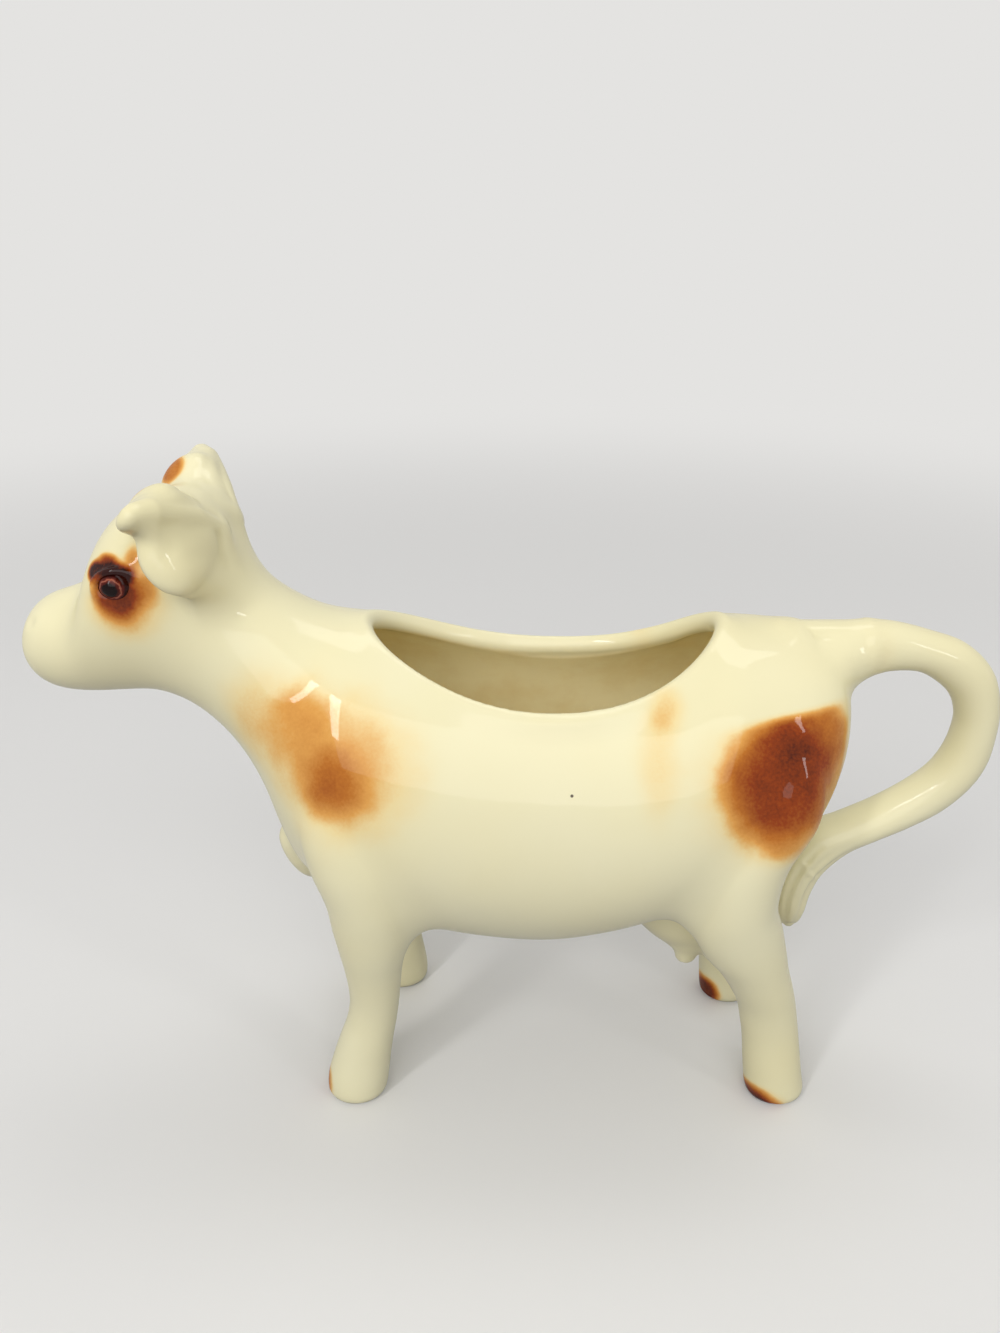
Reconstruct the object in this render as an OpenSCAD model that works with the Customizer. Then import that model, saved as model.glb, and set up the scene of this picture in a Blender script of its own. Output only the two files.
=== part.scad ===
// Cream jug in the form of a standing cow, in glazed earthenware.
// X runs from the nose (-) to the tail (+), Y from the cow's left (-) to its right (+), Z up from the table.

/* [Barrel] */
// X of the front of the chest
chest_x = -48; // [-52:0.5:-44]
// X of the back of the rump
rump_x = 62.5; // [60:0.5:67]
// Width of the barrel
barrel_w = 58; // [52:0.5:64]
// Height of the back over the table
back_h = 102.5; // [98:0.5:107]
// Height of the belly over the table
belly_h = 34; // [31:0.5:38]
// Thickness of the clay
wall = 3.6; // [3:0.1:4.5]

/* [Filling hole] */
// X of the middle of the hole
hole_x = 4; // [0:0.5:8]
// Length of the hole to the crest of its rim
hole_l = 68; // [60:0.5:70]
// Width of the hole to the crest of its rim
hole_w = 35.5; // [30:0.5:38]
// Height of the rim over the table at its lowest place
rim_low_h = 90.5; // [88:0.5:93]
// Thickness of the rolled rim
rim_d = 3.8; // [3:0.1:4.5]

/* [Head] */
// X of the back of the poll
poll_x = -51.7; // [-54:0.1:-49]
// Length of the head from the poll to the nose
head_l = 42.6; // [40:0.1:45]
// Height of the jaw over the table
jaw_h = 87.8; // [84:0.1:90]
// Height of the head from the jaw to the crown
head_h = 41; // [38:0.1:45]
// Width of the head at the cheeks
head_w = 29; // [27:0.5:33]
// Diameter of the pouring hole in the muzzle
mouth_d = 8.4; // [7:0.1:9]

/* [Eyes, ears and horns] */
// Diameter of an eyeball
eye_d = 6.6; // [5:0.1:8]
// Distance of an eye's middle inside the line of the cheek
eye_inset = 1.7; // [1:0.1:3]
// Width over the tips of the ears
ear_span = 42; // [38:0.5:46]
// Thickness of an ear where it is thickest
ear_t = 9.4; // [8:0.1:11]
// Width over the tips of the horns
horn_span = 46.4; // [42:0.2:52]
// Thickness of a horn at its root, from front to back
horn_t = 10; // [8:0.1:11]

/* [Legs] */
// Height of the joint between a leg and the barrel
leg_h = 46; // [44:0.5:48]
// Length of a foot
foot_l = 12.6; // [11:0.1:14]
// Width of a foot
foot_w = 11.2; // [10:0.1:12]
// Distance between the middles of two feet under straight legs, across the cow
track_w = 31.6; // [28:0.2:34]
// X of the front left foot
front_left_x = -34.8; // [-37:0.2:-32]
// Distance that the front left foot stands outside a straight leg
front_left_splay = 0.8; // [-3:0.2:3]
// X of the front right foot
front_right_x = -28.2; // [-31:0.2:-26]
// Distance that the front right foot stands outside a straight leg
front_right_splay = 2.6; // [-3:0.2:3]
// X of the rear left foot
rear_left_x = 54.4; // [52:0.2:57]
// Distance that the rear left foot stands outside a straight leg
rear_left_splay = 1; // [-3:0.2:3]
// X of the rear right foot
rear_right_x = 50; // [48:0.2:53]
// Distance that the rear right foot stands outside a straight leg
rear_right_splay = -2.4; // [-3:0.2:3]

/* [Tail handle] */
// X of the outermost point of the handle
handle_x = 93.6; // [91:0.2:97]
// Height of the top of the handle over the table
handle_h = 101.2; // [98:0.2:103]
// Height of the end of the tail over the table
tail_h = 30.5; // [27:0.5:33]
// Thickness of the handle
handle_t = 10; // [8:0.1:11]

/* [Udder] */
// X of the middle of the udder
udder_x = 33.5; // [32:0.5:36]
// Length of the udder
udder_l = 25; // [22:0.5:28]
// Width of the udder
udder_w = 22; // [18:0.5:24]
// Height of the bottom of the udder over the table
udder_h = 27; // [25:0.5:30]
// Diameter of a teat
teat_d = 4.4; // [3.6:0.1:5]
// Length of a teat below the udder
teat_l = 2; // [1.5:0.1:4]

/* [Brisket] */
// Width of the brisket
brisket_w = 9; // [7:0.5:11]
// Height of the brisket
brisket_h = 15; // [12:0.5:18]

/* [Hidden] */
cream = "#ece8c4";
dark_brown = "#4a1806";
LEFT = -1;
RIGHT = 1;
over = wall / 3;
trunk_sides = 40;
limb_sides = 24;
small_sides = 16;

barrel_l = rump_x - chest_x;
barrel_h = back_h - belly_h;

// A section is [top x, top z, bottom x, bottom z, half width, y, widest share]: an oval in a plane
// that holds Y and the line from its bottom point to its top point, widest at that share of the line.
TOP_X = 0;
TOP_Z = 1;
LOW_X = 2;
LOW_Z = 3;
HALF_W = 4;
MID_Y = 5;
WIDEST = 6;

// Cubic through b and c, a share t of the way, that leaves each with the slope of its neighbours
function spline(a, b, c, d, t) =
    b + ((c - a) * t + (2 * a - 5 * b + 4 * c - d) * t * t + (3 * b - 3 * c + d - a) * t * t * t) / 2;

// Sections with more between them
function smooth(rows, steps) = [
    for (i = [0 : len(rows) - 2], k = [0 : steps - 1])
        spline(rows[max(i - 1, 0)], rows[i], rows[i + 1], rows[min(i + 2, len(rows) - 1)], k / steps),
    rows[len(rows) - 1]];

function slice(rows, first, last) = [for (i = [first : last]) rows[i]];

function section_ring(row, sides, turn) =
    let (top = [row[TOP_X], row[MID_Y], row[TOP_Z]],
        low = [row[LOW_X], row[MID_Y], row[LOW_Z]],
        mid = low + (top - low) * row[WIDEST])
    [for (j = [0 : sides - 1]) let (a = turn * 360 * j / sides)
        mid + [0, row[HALF_W] * cos(a), 0] + (sin(a) > 0 ? top - mid : mid - low) * sin(a)];

// Closed skin over rings that all have the same number of points
module loft(rings) {
    n = len(rings[0]);
    last = len(rings) - 1;
    sides = [for (i = [0 : last - 1], j = [0 : n - 1], k = [0, 1])
        let (p = i * n + j, q = i * n + (j + 1) % n)
        k == 0 ? [p, p + n, q + n] : [p, q + n, q]];
    ends = [[for (j = [0 : n - 1]) j], [for (j = [n - 1 : -1 : 0]) last * n + j]];
    polyhedron([for (r = rings) for (p = r) p], concat(sides, ends));
}

// turn is 1 where the sections follow each other to the left of their low-to-top line, seen along +Y
module section_loft(rows, sides, turn = 1) {
    loft([for (row = rows) section_ring(row, sides, turn)]);
}

// Points of the line that the tops or the lows of the sections make, with the middles between them
function profile(rows, x, z) = [
    for (i = [0 : len(rows) - 2], k = [0, 0.5])
        let (a = [rows[i][x], rows[i][z]], b = [rows[i + 1][x], rows[i + 1][z]]) a + k * (b - a)];

// How far an end of a section, at p, is drawn in along u to leave a wall of t to its whole profile
draw_step = wall / 12;
function draw_in(line, p, u, t, d) =
    d > 4 * t || min([for (q = line) norm(p + d * u - q)]) > t - draw_step ? d
        : draw_in(line, p, u, t, d + draw_step);

// Sections first to last drawn in on every side for a wall of t
function inner(rows, first, last, t) =
    let (tops = profile(rows, TOP_X, TOP_Z), lows = profile(rows, LOW_X, LOW_Z))
    [for (i = [first : last])
        let (row = rows[i], top = [row[TOP_X], row[TOP_Z]], low = [row[LOW_X], row[LOW_Z]],
            u = (top - low) / norm(top - low),
            top_in = top - draw_in(tops, top, -u, t, t) * u,
            low_in = low + draw_in(lows, low, u, t, t) * u)
        [top_in[0], top_in[1], low_in[0], low_in[1], row[HALF_W] - t, row[MID_Y], row[WIDEST]]];

// Barrel, from the rump to the shoulders: shares of its length and height from the rump's back and the
// belly at the top point and the low point, then shares of half its width and of the section's height.
barrel_shares = [
    [0.000, 0.750, 0.003, 0.620, 0.16, 0.5],
    [0.008, 0.850, 0.022, 0.500, 0.40, 0.5],
    [0.035, 0.935, 0.060, 0.360, 0.63, 0.5],
    [0.095, 0.968, 0.115, 0.220, 0.81, 0.5],
    [0.170, 0.980, 0.180, 0.130, 0.92, 0.48],
    [0.240, 0.978, 0.250, 0.115, 0.97, 0.48],
    [0.305, 0.935, 0.325, 0.082, 0.99, 0.48],
    [0.400, 0.912, 0.410, 0.036, 1.00, 0.48],
    [0.520, 0.920, 0.520, 0.003, 1.00, 0.48],
    [0.650, 0.940, 0.650, 0.022, 1.00, 0.48],
    [0.740, 0.965, 0.750, 0.060, 0.985, 0.48],
    [0.810, 0.986, 0.835, 0.110, 0.95, 0.47],
    [0.855, 0.998, 0.910, 0.175, 0.88, 0.46],
    [0.885, 1.008, 0.965, 0.265, 0.78, 0.46],
    [0.912, 1.022, 0.998, 0.385, 0.67, 0.47]];
barrel_rows = [for (s = barrel_shares) [
    rump_x - s[0] * barrel_l, belly_h + s[1] * barrel_h,
    rump_x - s[2] * barrel_l, belly_h + s[3] * barrel_h,
    s[4] * barrel_w / 2, 0, s[5]]];

// Head, from the poll to the nose: shares of its length and height from the poll's back and the jaw,
// then shares of half its width and of the section's height.
head_shares = [
    [0.000, 0.735, 0.395, 0.010, 0.93, 0.50],
    [0.085, 0.920, 0.480, 0.012, 0.97, 0.52],
    [0.230, 0.975, 0.560, 0.008, 1.00, 0.54],
    [0.390, 0.912, 0.630, 0.002, 0.98, 0.56],
    [0.520, 0.826, 0.690, 0.000, 0.92, 0.57],
    [0.600, 0.708, 0.740, 0.000, 0.84, 0.55],
    [0.640, 0.575, 0.790, 0.003, 0.73, 0.52],
    [0.715, 0.515, 0.840, 0.010, 0.65, 0.50],
    [0.810, 0.487, 0.890, 0.030, 0.63, 0.50],
    [0.900, 0.446, 0.932, 0.068, 0.57, 0.50],
    [0.962, 0.370, 0.968, 0.135, 0.42, 0.50],
    [0.984, 0.285, 0.986, 0.205, 0.10, 0.50]];
head_rows = [for (s = head_shares) [
    poll_x - s[0] * head_l, jaw_h + s[1] * head_h,
    poll_x - s[2] * head_l, jaw_h + s[3] * head_h,
    s[4] * head_w / 2, 0, s[5]]];

// Neck, from the shoulders to the poll: shares of the way for top x, top z, low x, low z and the rest
neck_shares = [
    [0.24, 0.12, 0.14, 0.32, 0.45],
    [0.52, 0.30, 0.37, 0.64, 0.82],
    [0.78, 0.56, 0.69, 0.89, 1.00]];
shoulder_row = barrel_rows[len(barrel_rows) - 1];
poll_row = head_rows[0];
neck_rows = [for (s = neck_shares)
    let (way = [s[0], s[1], s[2], s[3], s[4], s[4], s[4]])
    [for (i = [0 : WIDEST]) shoulder_row[i] + way[i] * (poll_row[i] - shoulder_row[i])]];

trunk_steps = 2;
trunk_rows = smooth(concat(barrel_rows, neck_rows, head_rows), trunk_steps);
neck_start = (len(barrel_rows) - 1) * trunk_steps;
head_start = neck_start + (len(neck_rows) + 1) * trunk_steps;
nose_end = len(trunk_rows) - 1;

// The space inside starts in front of the rump and stops behind the nose
space_start = 4;
space_end = nose_end - 5;
space_rows = inner(trunk_rows, space_start, space_end, wall);
mouth_h = (trunk_rows[nose_end][TOP_Z] + trunk_rows[nose_end][LOW_Z]) / 2;
mouth_reach = head_l / 4;
mouth_sides = 48;

module trunk(first, last) {
    section_loft(slice(trunk_rows, first, last), trunk_sides, -1);
}

module cream_space() {
    section_loft(space_rows, trunk_sides, -1);
}

// Rim of the filling hole, an oval that dips between the shoulders and the rump
rim_front_power = 2;
rim_rear_power = 2.7;
rim_points = 48;
rim_sides = 8;
rim_high_h = back_h;

function rim_height(share) =
    rim_low_h + (rim_high_h - rim_low_h) * pow(abs(share), share < 0 ? rim_front_power : rim_rear_power);

function rim_point(a) =
    [hole_x + hole_l / 2 * cos(a), hole_w / 2 * sin(a), rim_height(cos(a)) - rim_d / 2];

module hole_cutter() {
    translate([0, 0, back_h - barrel_h / 2])
        linear_extrude(height = barrel_h)
            polygon([for (i = [0 : rim_points - 1])
                let (p = rim_point(360 * i / rim_points)) [p[0], p[1]]]);
}

module rolled_rim() {
    rings = [for (i = [0 : rim_points - 1])
        let (a = 360 * i / rim_points, c = rim_point(a),
            out = [cos(a) * hole_w, sin(a) * hole_l, 0] / norm([cos(a) * hole_w, sin(a) * hole_l]))
        [for (j = [0 : rim_sides - 1]) let (b = 360 * (j + 0.5) / rim_sides)
            c + rim_d / 2 * (out * cos(b) + [0, 0, sin(b)])]];
    points = [for (r = rings) for (p = r) p];
    faces = [for (i = [0 : rim_points - 1], j = [0 : rim_sides - 1], k = [0, 1])
        let (i2 = (i + 1) % rim_points, j2 = (j + 1) % rim_sides,
            p = i * rim_sides + j, q = i * rim_sides + j2,
            p2 = i2 * rim_sides + j, q2 = i2 * rim_sides + j2)
        k == 0 ? [p, q2, p2] : [p, q, q2]];
    polyhedron(points, faces);
}

// Legs: share of the joint's height, share of the lean to the top, then shares of the foot's half length
// and half width and of the way from the track's half width to the outside of the shoulder or haunch.
front_leg_shares = [
    [0.000, 0.02, 0.80, 0.78, 0.00],
    [0.012, 0.02, 0.93, 0.92, 0.00],
    [0.040, 0.04, 1.00, 1.00, 0.00],
    [0.110, 0.12, 1.01, 0.98, 0.00],
    [0.220, 0.32, 0.95, 0.92, 0.00],
    [0.330, 0.55, 0.88, 0.86, 0.02],
    [0.430, 0.78, 0.82, 0.82, 0.04],
    [0.540, 0.94, 0.80, 0.82, 0.08],
    [0.650, 1.00, 0.84, 0.86, 0.14],
    [0.760, 1.02, 0.92, 0.95, 0.20],
    [0.870, 1.06, 1.05, 1.08, 0.26],
    [1.000, 1.08, 1.20, 1.22, 0.31],
    [1.150, 1.04, 1.30, 1.36, 0.34],
    [1.350, 0.78, 1.52, 1.46, 0.34],
    [1.550, 0.50, 1.50, 1.36, 0.26],
    [1.750, 0.36, 1.10, 0.96, 0.06]];
rear_leg_shares = [
    [0.000, 0.00, 0.80, 0.78, 0.00],
    [0.012, 0.00, 0.93, 0.92, 0.00],
    [0.040, 0.01, 0.98, 1.00, 0.00],
    [0.110, 0.06, 0.97, 0.98, 0.00],
    [0.220, 0.13, 0.95, 0.94, 0.01],
    [0.330, 0.20, 0.93, 0.90, 0.03],
    [0.430, 0.28, 0.93, 0.90, 0.06],
    [0.540, 0.38, 0.94, 0.94, 0.10],
    [0.650, 0.54, 1.01, 1.02, 0.16],
    [0.760, 0.74, 1.12, 1.12, 0.22],
    [0.870, 0.96, 1.32, 1.24, 0.28],
    [1.000, 1.14, 1.40, 1.36, 0.33],
    [1.150, 1.23, 1.27, 1.46, 0.36],
    [1.350, 1.15, 1.32, 1.50, 0.36],
    [1.550, 0.80, 1.40, 1.44, 0.32],
    [1.750, 0.64, 1.20, 1.20, 0.20],
    [1.900, 0.60, 0.70, 0.70, 0.04]];
seam_row = 11;
front_top_share = 0.833;
rear_top_share = 0.175;
front_top_x = rump_x - front_top_share * barrel_l;
rear_top_x = rump_x - rear_top_share * barrel_l;
side_y = barrel_w / 2;

function leg_rows(shares, side, foot_x, splay, top_x) = [for (s = shares)
    let (mid = foot_x + s[1] * (top_x - foot_x), z = s[0] * leg_h,
        y = side * (track_w / 2 + s[4] * (side_y - track_w / 2) + max(1 - s[0], 0) * splay))
    [mid - s[2] * foot_l / 2, z, mid + s[2] * foot_l / 2, z, s[3] * foot_w / 2, y, 0.5]];

front_left_rows = leg_rows(front_leg_shares, LEFT, front_left_x, front_left_splay, front_top_x);
front_right_rows = leg_rows(front_leg_shares, RIGHT, front_right_x, front_right_splay, front_top_x);
rear_left_rows = leg_rows(rear_leg_shares, LEFT, rear_left_x, rear_left_splay, rear_top_x);
rear_right_rows = leg_rows(rear_leg_shares, RIGHT, rear_right_x, rear_right_splay, rear_top_x);

module leg_form(rows, first, last) {
    section_loft(slice(rows, first, last), limb_sides);
}

module leg(rows) {
    color(cream) difference() {
        leg_form(rows, 0, seam_row);
        trunk(0, neck_start);
    }
}

module leg_roots() {
    for (rows = [front_left_rows, front_right_rows, rear_left_rows, rear_right_rows])
        leg_form(rows, seam_row, len(rows) - 1);
}

module front_left_leg() { leg(front_left_rows); }
module front_right_leg() { leg(front_right_rows); }
module rear_left_leg() { leg(rear_left_rows); }
module rear_right_leg() { leg(rear_right_rows); }

module body_shell() {
    color(cream) difference() {
        union() {
            difference() {
                union() {
                    trunk(0, neck_start);
                    leg_roots();
                }
                hole_cutter();
            }
            rolled_rim();
        }
        cream_space();
    }
}

module neck() {
    color(cream) difference() {
        trunk(neck_start, head_start);
        cream_space();
    }
}

module head() {
    color(cream) difference() {
        trunk(head_start, nose_end);
        cream_space();
        translate([poll_x - head_l - over, 0, mouth_h])
            rotate([0, 90, 0])
                cylinder(h = mouth_reach, d = mouth_d, $fn = mouth_sides);
    }
}

// Ear and horn: shares of the way out, then x and z from the root in shares of the thickness, then half
// sizes along x and z as shares of half the thickness.
ear_shares = [
    [0.35, 0.02, 0.00, 0.92, 0.98],
    [0.62, -0.05, -0.03, 1.00, 1.00],
    [0.80, -0.13, -0.09, 0.98, 0.98],
    [0.91, -0.19, -0.14, 0.82, 0.82],
    [0.975, -0.23, -0.18, 0.52, 0.52],
    [1.00, -0.25, -0.20, 0.18, 0.18]];
ear_place_shares = [0.17, 0.76];
ear_x = poll_x - ear_place_shares[0] * head_l;
ear_h = jaw_h + ear_place_shares[1] * head_h;

horn_shares = [
    [0.15, 0.10, -0.45, 0.90, 0.90],
    [0.40, 0.02, 0.05, 0.98, 0.88],
    [0.62, 0.02, 0.14, 0.84, 0.66],
    [0.83, 0.00, 0.22, 0.58, 0.48],
    [0.955, -0.02, 0.27, 0.36, 0.32],
    [1.00, -0.03, 0.28, 0.14, 0.12]];
// Rise of a horn's section from its front edge to its back edge, as a share of its length
horn_lean = 0.4;
horn_place_shares = [0.27, 0.91];
horn_x = poll_x - horn_place_shares[0] * head_l;
horn_h = jaw_h + horn_place_shares[1] * head_h;

function side_ring(side, span, x, z, t, lean, s, sides) = [for (j = [0 : sides - 1])
    let (a = -side * 360 * j / sides, along = s[3] * t / 2 * cos(a))
    [x + s[1] * t + along, side * s[0] * span / 2, z + s[2] * t + lean * along + s[4] * t / 2 * sin(a)]];

module side_form(shares, side, span, x, z, t, lean, steps) {
    loft([for (s = smooth(shares, steps)) side_ring(side, span, x, z, t, lean, s, small_sides)]);
}

module ear_form(side) {
    side_form(ear_shares, side, ear_span, ear_x, ear_h, ear_t, 0, 2);
}

module horn_form(side) {
    side_form(horn_shares, side, horn_span, horn_x, horn_h, horn_t, horn_lean, 2);
}

module horn(side) {
    color(cream) difference() {
        horn_form(side);
        trunk(head_start, nose_end);
    }
}

module ear(side) {
    color(cream) difference() {
        ear_form(side);
        trunk(neck_start, nose_end);
        horn_form(side);
    }
}

module left_horn() { horn(LEFT); }
module right_horn() { horn(RIGHT); }
module left_ear() { ear(LEFT); }
module right_ear() { ear(RIGHT); }

// Eyes, seated on the sides of the head
eye_place_shares = [0.45, 0.615];
eye_x = poll_x - eye_place_shares[0] * head_l;
eye_h = jaw_h + eye_place_shares[1] * head_h;

module eye(side) {
    color(dark_brown) difference() {
        translate([eye_x, side * (head_w / 2 - eye_inset), eye_h])
            sphere(d = eye_d, $fn = small_sides);
        trunk(head_start, nose_end);
    }
}

module left_eye() { eye(LEFT); }
module right_eye() { eye(RIGHT); }

// Tail: points on its outer edge and its inner edge, as shares of its reach behind the rump and of the
// height from its end to its top, then the share of half the thickness across the cow.
tail_reach = handle_x - rump_x;
tail_rise = handle_h - tail_h;
tail_shares = [
    [-0.28, 0.985, -0.20, 0.80, 1.05],
    [-0.08, 1.000, -0.02, 0.84, 1.03],
    [0.10, 1.005, 0.10, 0.855, 1.00],
    [0.28, 0.998, 0.24, 0.864, 0.98],
    [0.50, 0.972, 0.42, 0.862, 0.96],
    [0.72, 0.936, 0.56, 0.830, 0.96],
    [0.90, 0.862, 0.67, 0.785, 0.96],
    [0.985, 0.762, 0.73, 0.725, 0.96],
    [1.00, 0.660, 0.735, 0.672, 0.96],
    [0.98, 0.575, 0.70, 0.605, 0.96],
    [0.905, 0.500, 0.62, 0.543, 0.96],
    [0.76, 0.425, 0.47, 0.485, 0.96],
    [0.56, 0.368, 0.29, 0.432, 0.98],
    [0.37, 0.325, 0.09, 0.385, 1.00],
    [0.19, 0.280, -0.08, 0.348, 1.02],
    [0.045, 0.212, -0.20, 0.262, 1.02],
    [-0.02, 0.140, -0.26, 0.168, 1.00],
    [-0.045, 0.070, -0.26, 0.080, 0.92],
    [-0.08, 0.018, -0.22, 0.024, 0.62],
    [-0.12, 0.000, -0.16, 0.002, 0.25]];
tail_steps = 2;
tuft_row = 13;
tuft_start = tuft_row * tail_steps;
tail_rows = smooth([for (s = tail_shares) [
    rump_x + s[0] * tail_reach, tail_h + s[1] * tail_rise,
    rump_x + s[2] * tail_reach, tail_h + s[3] * tail_rise,
    s[4] * handle_t / 2, 0, 0.5]], tail_steps);

module tail(first, last) {
    color(cream) difference() {
        section_loft(slice(tail_rows, first, last), limb_sides);
        trunk(0, neck_start);
        leg_roots();
        leg_form(rear_left_rows, 0, seam_row);
        leg_form(rear_right_rows, 0, seam_row);
    }
}

module tail_handle() { tail(0, tuft_start); }
module tail_tuft() { tail(tuft_start, len(tail_rows) - 1); }

// Udder: shares of its height below the belly's line, then of its half length and half width and the
// place of its middle as a share of its length
udder_shares = [
    [0.00, 0.00, 0.00, 0.14],
    [0.03, 0.26, 0.32, 0.14],
    [0.14, 0.50, 0.60, 0.12],
    [0.34, 0.70, 0.80, 0.09],
    [0.62, 0.88, 0.95, 0.06],
    [1.00, 1.04, 1.00, 0.04],
    [1.30, 1.10, 0.96, 0.03]];
udder_top_share = 0.083;
udder_drop = belly_h + udder_top_share * barrel_h - udder_h;
udder_tip_share = 0.02;

module udder_form() {
    section_loft(smooth([for (s = udder_shares)
        let (mid = udder_x + s[3] * udder_l, z = udder_h + s[0] * udder_drop,
            half = max(s[1], udder_tip_share) * udder_l / 2)
        [mid - half, z, mid + half, z, max(s[2], udder_tip_share) * udder_w / 2, 0, 0.5]], 2), limb_sides);
}

module udder() {
    color(cream) difference() {
        udder_form();
        trunk(0, neck_start);
        leg_roots();
        leg_form(rear_left_rows, 0, seam_row);
        leg_form(rear_right_rows, 0, seam_row);
    }
}

teat_shares = [
    [0.00, 0.20],
    [0.04, 0.50],
    [0.14, 0.76],
    [0.34, 0.95],
    [0.70, 1.00],
    [1.20, 1.10],
    [2.00, 1.20]];
teat_spread_share = 0.46;
front_teat_share = 0.08;
rear_teat_share = 0.34;

module teat(x_share, side) {
    color(cream) difference() {
        translate([udder_x + x_share * udder_l, side * teat_spread_share * udder_w / 2, udder_h - teat_l])
            loft([for (s = teat_shares) [for (j = [0 : small_sides - 1])
                let (a = -360 * j / small_sides)
                [s[1] * teat_d / 2 * cos(a), s[1] * teat_d / 2 * sin(a), s[0] * teat_l]]]);
        udder_form();
    }
}

module front_left_teat() { teat(front_teat_share, LEFT); }
module front_right_teat() { teat(front_teat_share, RIGHT); }
module rear_left_teat() { teat(rear_teat_share, LEFT); }
module rear_right_teat() { teat(rear_teat_share, RIGHT); }

// Brisket, a keel on the chest: shares of its height, then of its width
brisket_shares = [
    [0.00, 0.10],
    [0.05, 0.32],
    [0.18, 0.64],
    [0.42, 0.94],
    [0.70, 1.00],
    [0.92, 0.55],
    [1.00, 0.10]];
brisket_back_share = 0.45;
brisket_low_share = 0.133;
brisket_lean_share = 0.25;
brisket_x = chest_x + brisket_back_share * brisket_w;
brisket_z = belly_h + brisket_low_share * barrel_h;

module brisket() {
    color(cream) difference() {
        section_loft(smooth([for (s = brisket_shares)
            let (z = brisket_z + s[0] * brisket_h, x = brisket_x - s[0] * brisket_lean_share * brisket_w,
                half = s[1] * brisket_w / 2)
            [x - half, z, x + half, z, half, 0, 0.5]], 2), limb_sides);
        trunk(0, neck_start);
    }
}

body_shell();
neck();
head();
front_left_leg();
front_right_leg();
rear_left_leg();
rear_right_leg();
left_horn();
right_horn();
left_ear();
right_ear();
left_eye();
right_eye();
tail_handle();
tail_tuft();
udder();
front_left_teat();
front_right_teat();
rear_left_teat();
rear_right_teat();
brisket();
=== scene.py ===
"""Looks of a cow-shaped cream jug: one glaze over luted clay parts, with airbrushed brown patches."""
import math
from functools import partial

import bmesh
import bpy
import numpy as np
import openvdb as vdb
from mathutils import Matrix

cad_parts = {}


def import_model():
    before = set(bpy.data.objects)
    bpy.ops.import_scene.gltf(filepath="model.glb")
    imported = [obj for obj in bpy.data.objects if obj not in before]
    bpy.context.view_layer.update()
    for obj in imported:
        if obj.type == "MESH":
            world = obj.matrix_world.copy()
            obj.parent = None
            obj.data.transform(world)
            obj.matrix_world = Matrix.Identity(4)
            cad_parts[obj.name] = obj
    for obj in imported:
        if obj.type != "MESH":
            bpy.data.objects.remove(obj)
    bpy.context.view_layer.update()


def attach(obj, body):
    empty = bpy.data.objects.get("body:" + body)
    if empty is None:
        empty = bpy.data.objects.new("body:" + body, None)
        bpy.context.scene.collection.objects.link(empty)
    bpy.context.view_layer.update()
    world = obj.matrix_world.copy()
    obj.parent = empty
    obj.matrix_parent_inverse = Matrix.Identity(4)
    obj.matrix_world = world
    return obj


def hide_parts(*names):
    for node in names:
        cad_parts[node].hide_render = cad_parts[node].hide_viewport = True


bl_info = {
    "name": "Cow creamer",
    "version": (1, 0, 0),
    "blender": (4, 5, 0),
    "location": "3D View > Sidebar > Cow creamer",
    "description": "Builds a glazed cow creamer around its packed clay parts",
    "category": "Object",
}

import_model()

MM = 0.001
LEFT, RIGHT = -1, 1
HANDS = (("left", LEFT), ("right", RIGHT))
UP = np.array([0.0, 0.0, 1.0])

# Sizes of the clay, in mm.

CHEST_X, RUMP_X = -48.0, 62.5
BARREL_W, BACK_H, BELLY_H = 58.0, 102.5, 34.0
BARREL_L, BARREL_H = RUMP_X - CHEST_X, BACK_H - BELLY_H
HOLE_X, HOLE_L, HOLE_W, RIM_LOW_H = 4.0, 68.0, 35.5, 90.5
POLL_X, HEAD_L, JAW_H, HEAD_H, HEAD_W = -51.7, 42.6, 87.8, 41.0, 29.0
EYE_SPAN, EAR_SPAN, EAR_T, HORN_SPAN, HORN_T, HORN_LEAN = 25.6, 42.0, 9.4, 46.4, 10.0, 0.4
LEG_H, FOOT_L, FOOT_W, TRACK_W = 46.0, 12.6, 11.2, 31.6
FEET = {  # x, side, and how far the foot stands outside a straight leg
    "front_left_leg": (-34.8, LEFT, 0.8), "front_right_leg": (-28.2, RIGHT, 2.6),
    "rear_left_leg": (54.4, LEFT, 1.0), "rear_right_leg": (50.0, RIGHT, -2.4),
}
FRONT_TOP_X, REAR_TOP_X = RUMP_X - 0.833 * BARREL_L, RUMP_X - 0.175 * BARREL_L
HANDLE_X, HANDLE_H, TAIL_H, HANDLE_T = 93.6, 101.2, 30.5, 10.0
UDDER_X, UDDER_L, UDDER_W, UDDER_H = 33.5, 25.0, 22.0, 27.0
TEAT_D, TEAT_L = 4.4, 2.0
BRISKET_W, BRISKET_H = 9.0, 15.0

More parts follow.
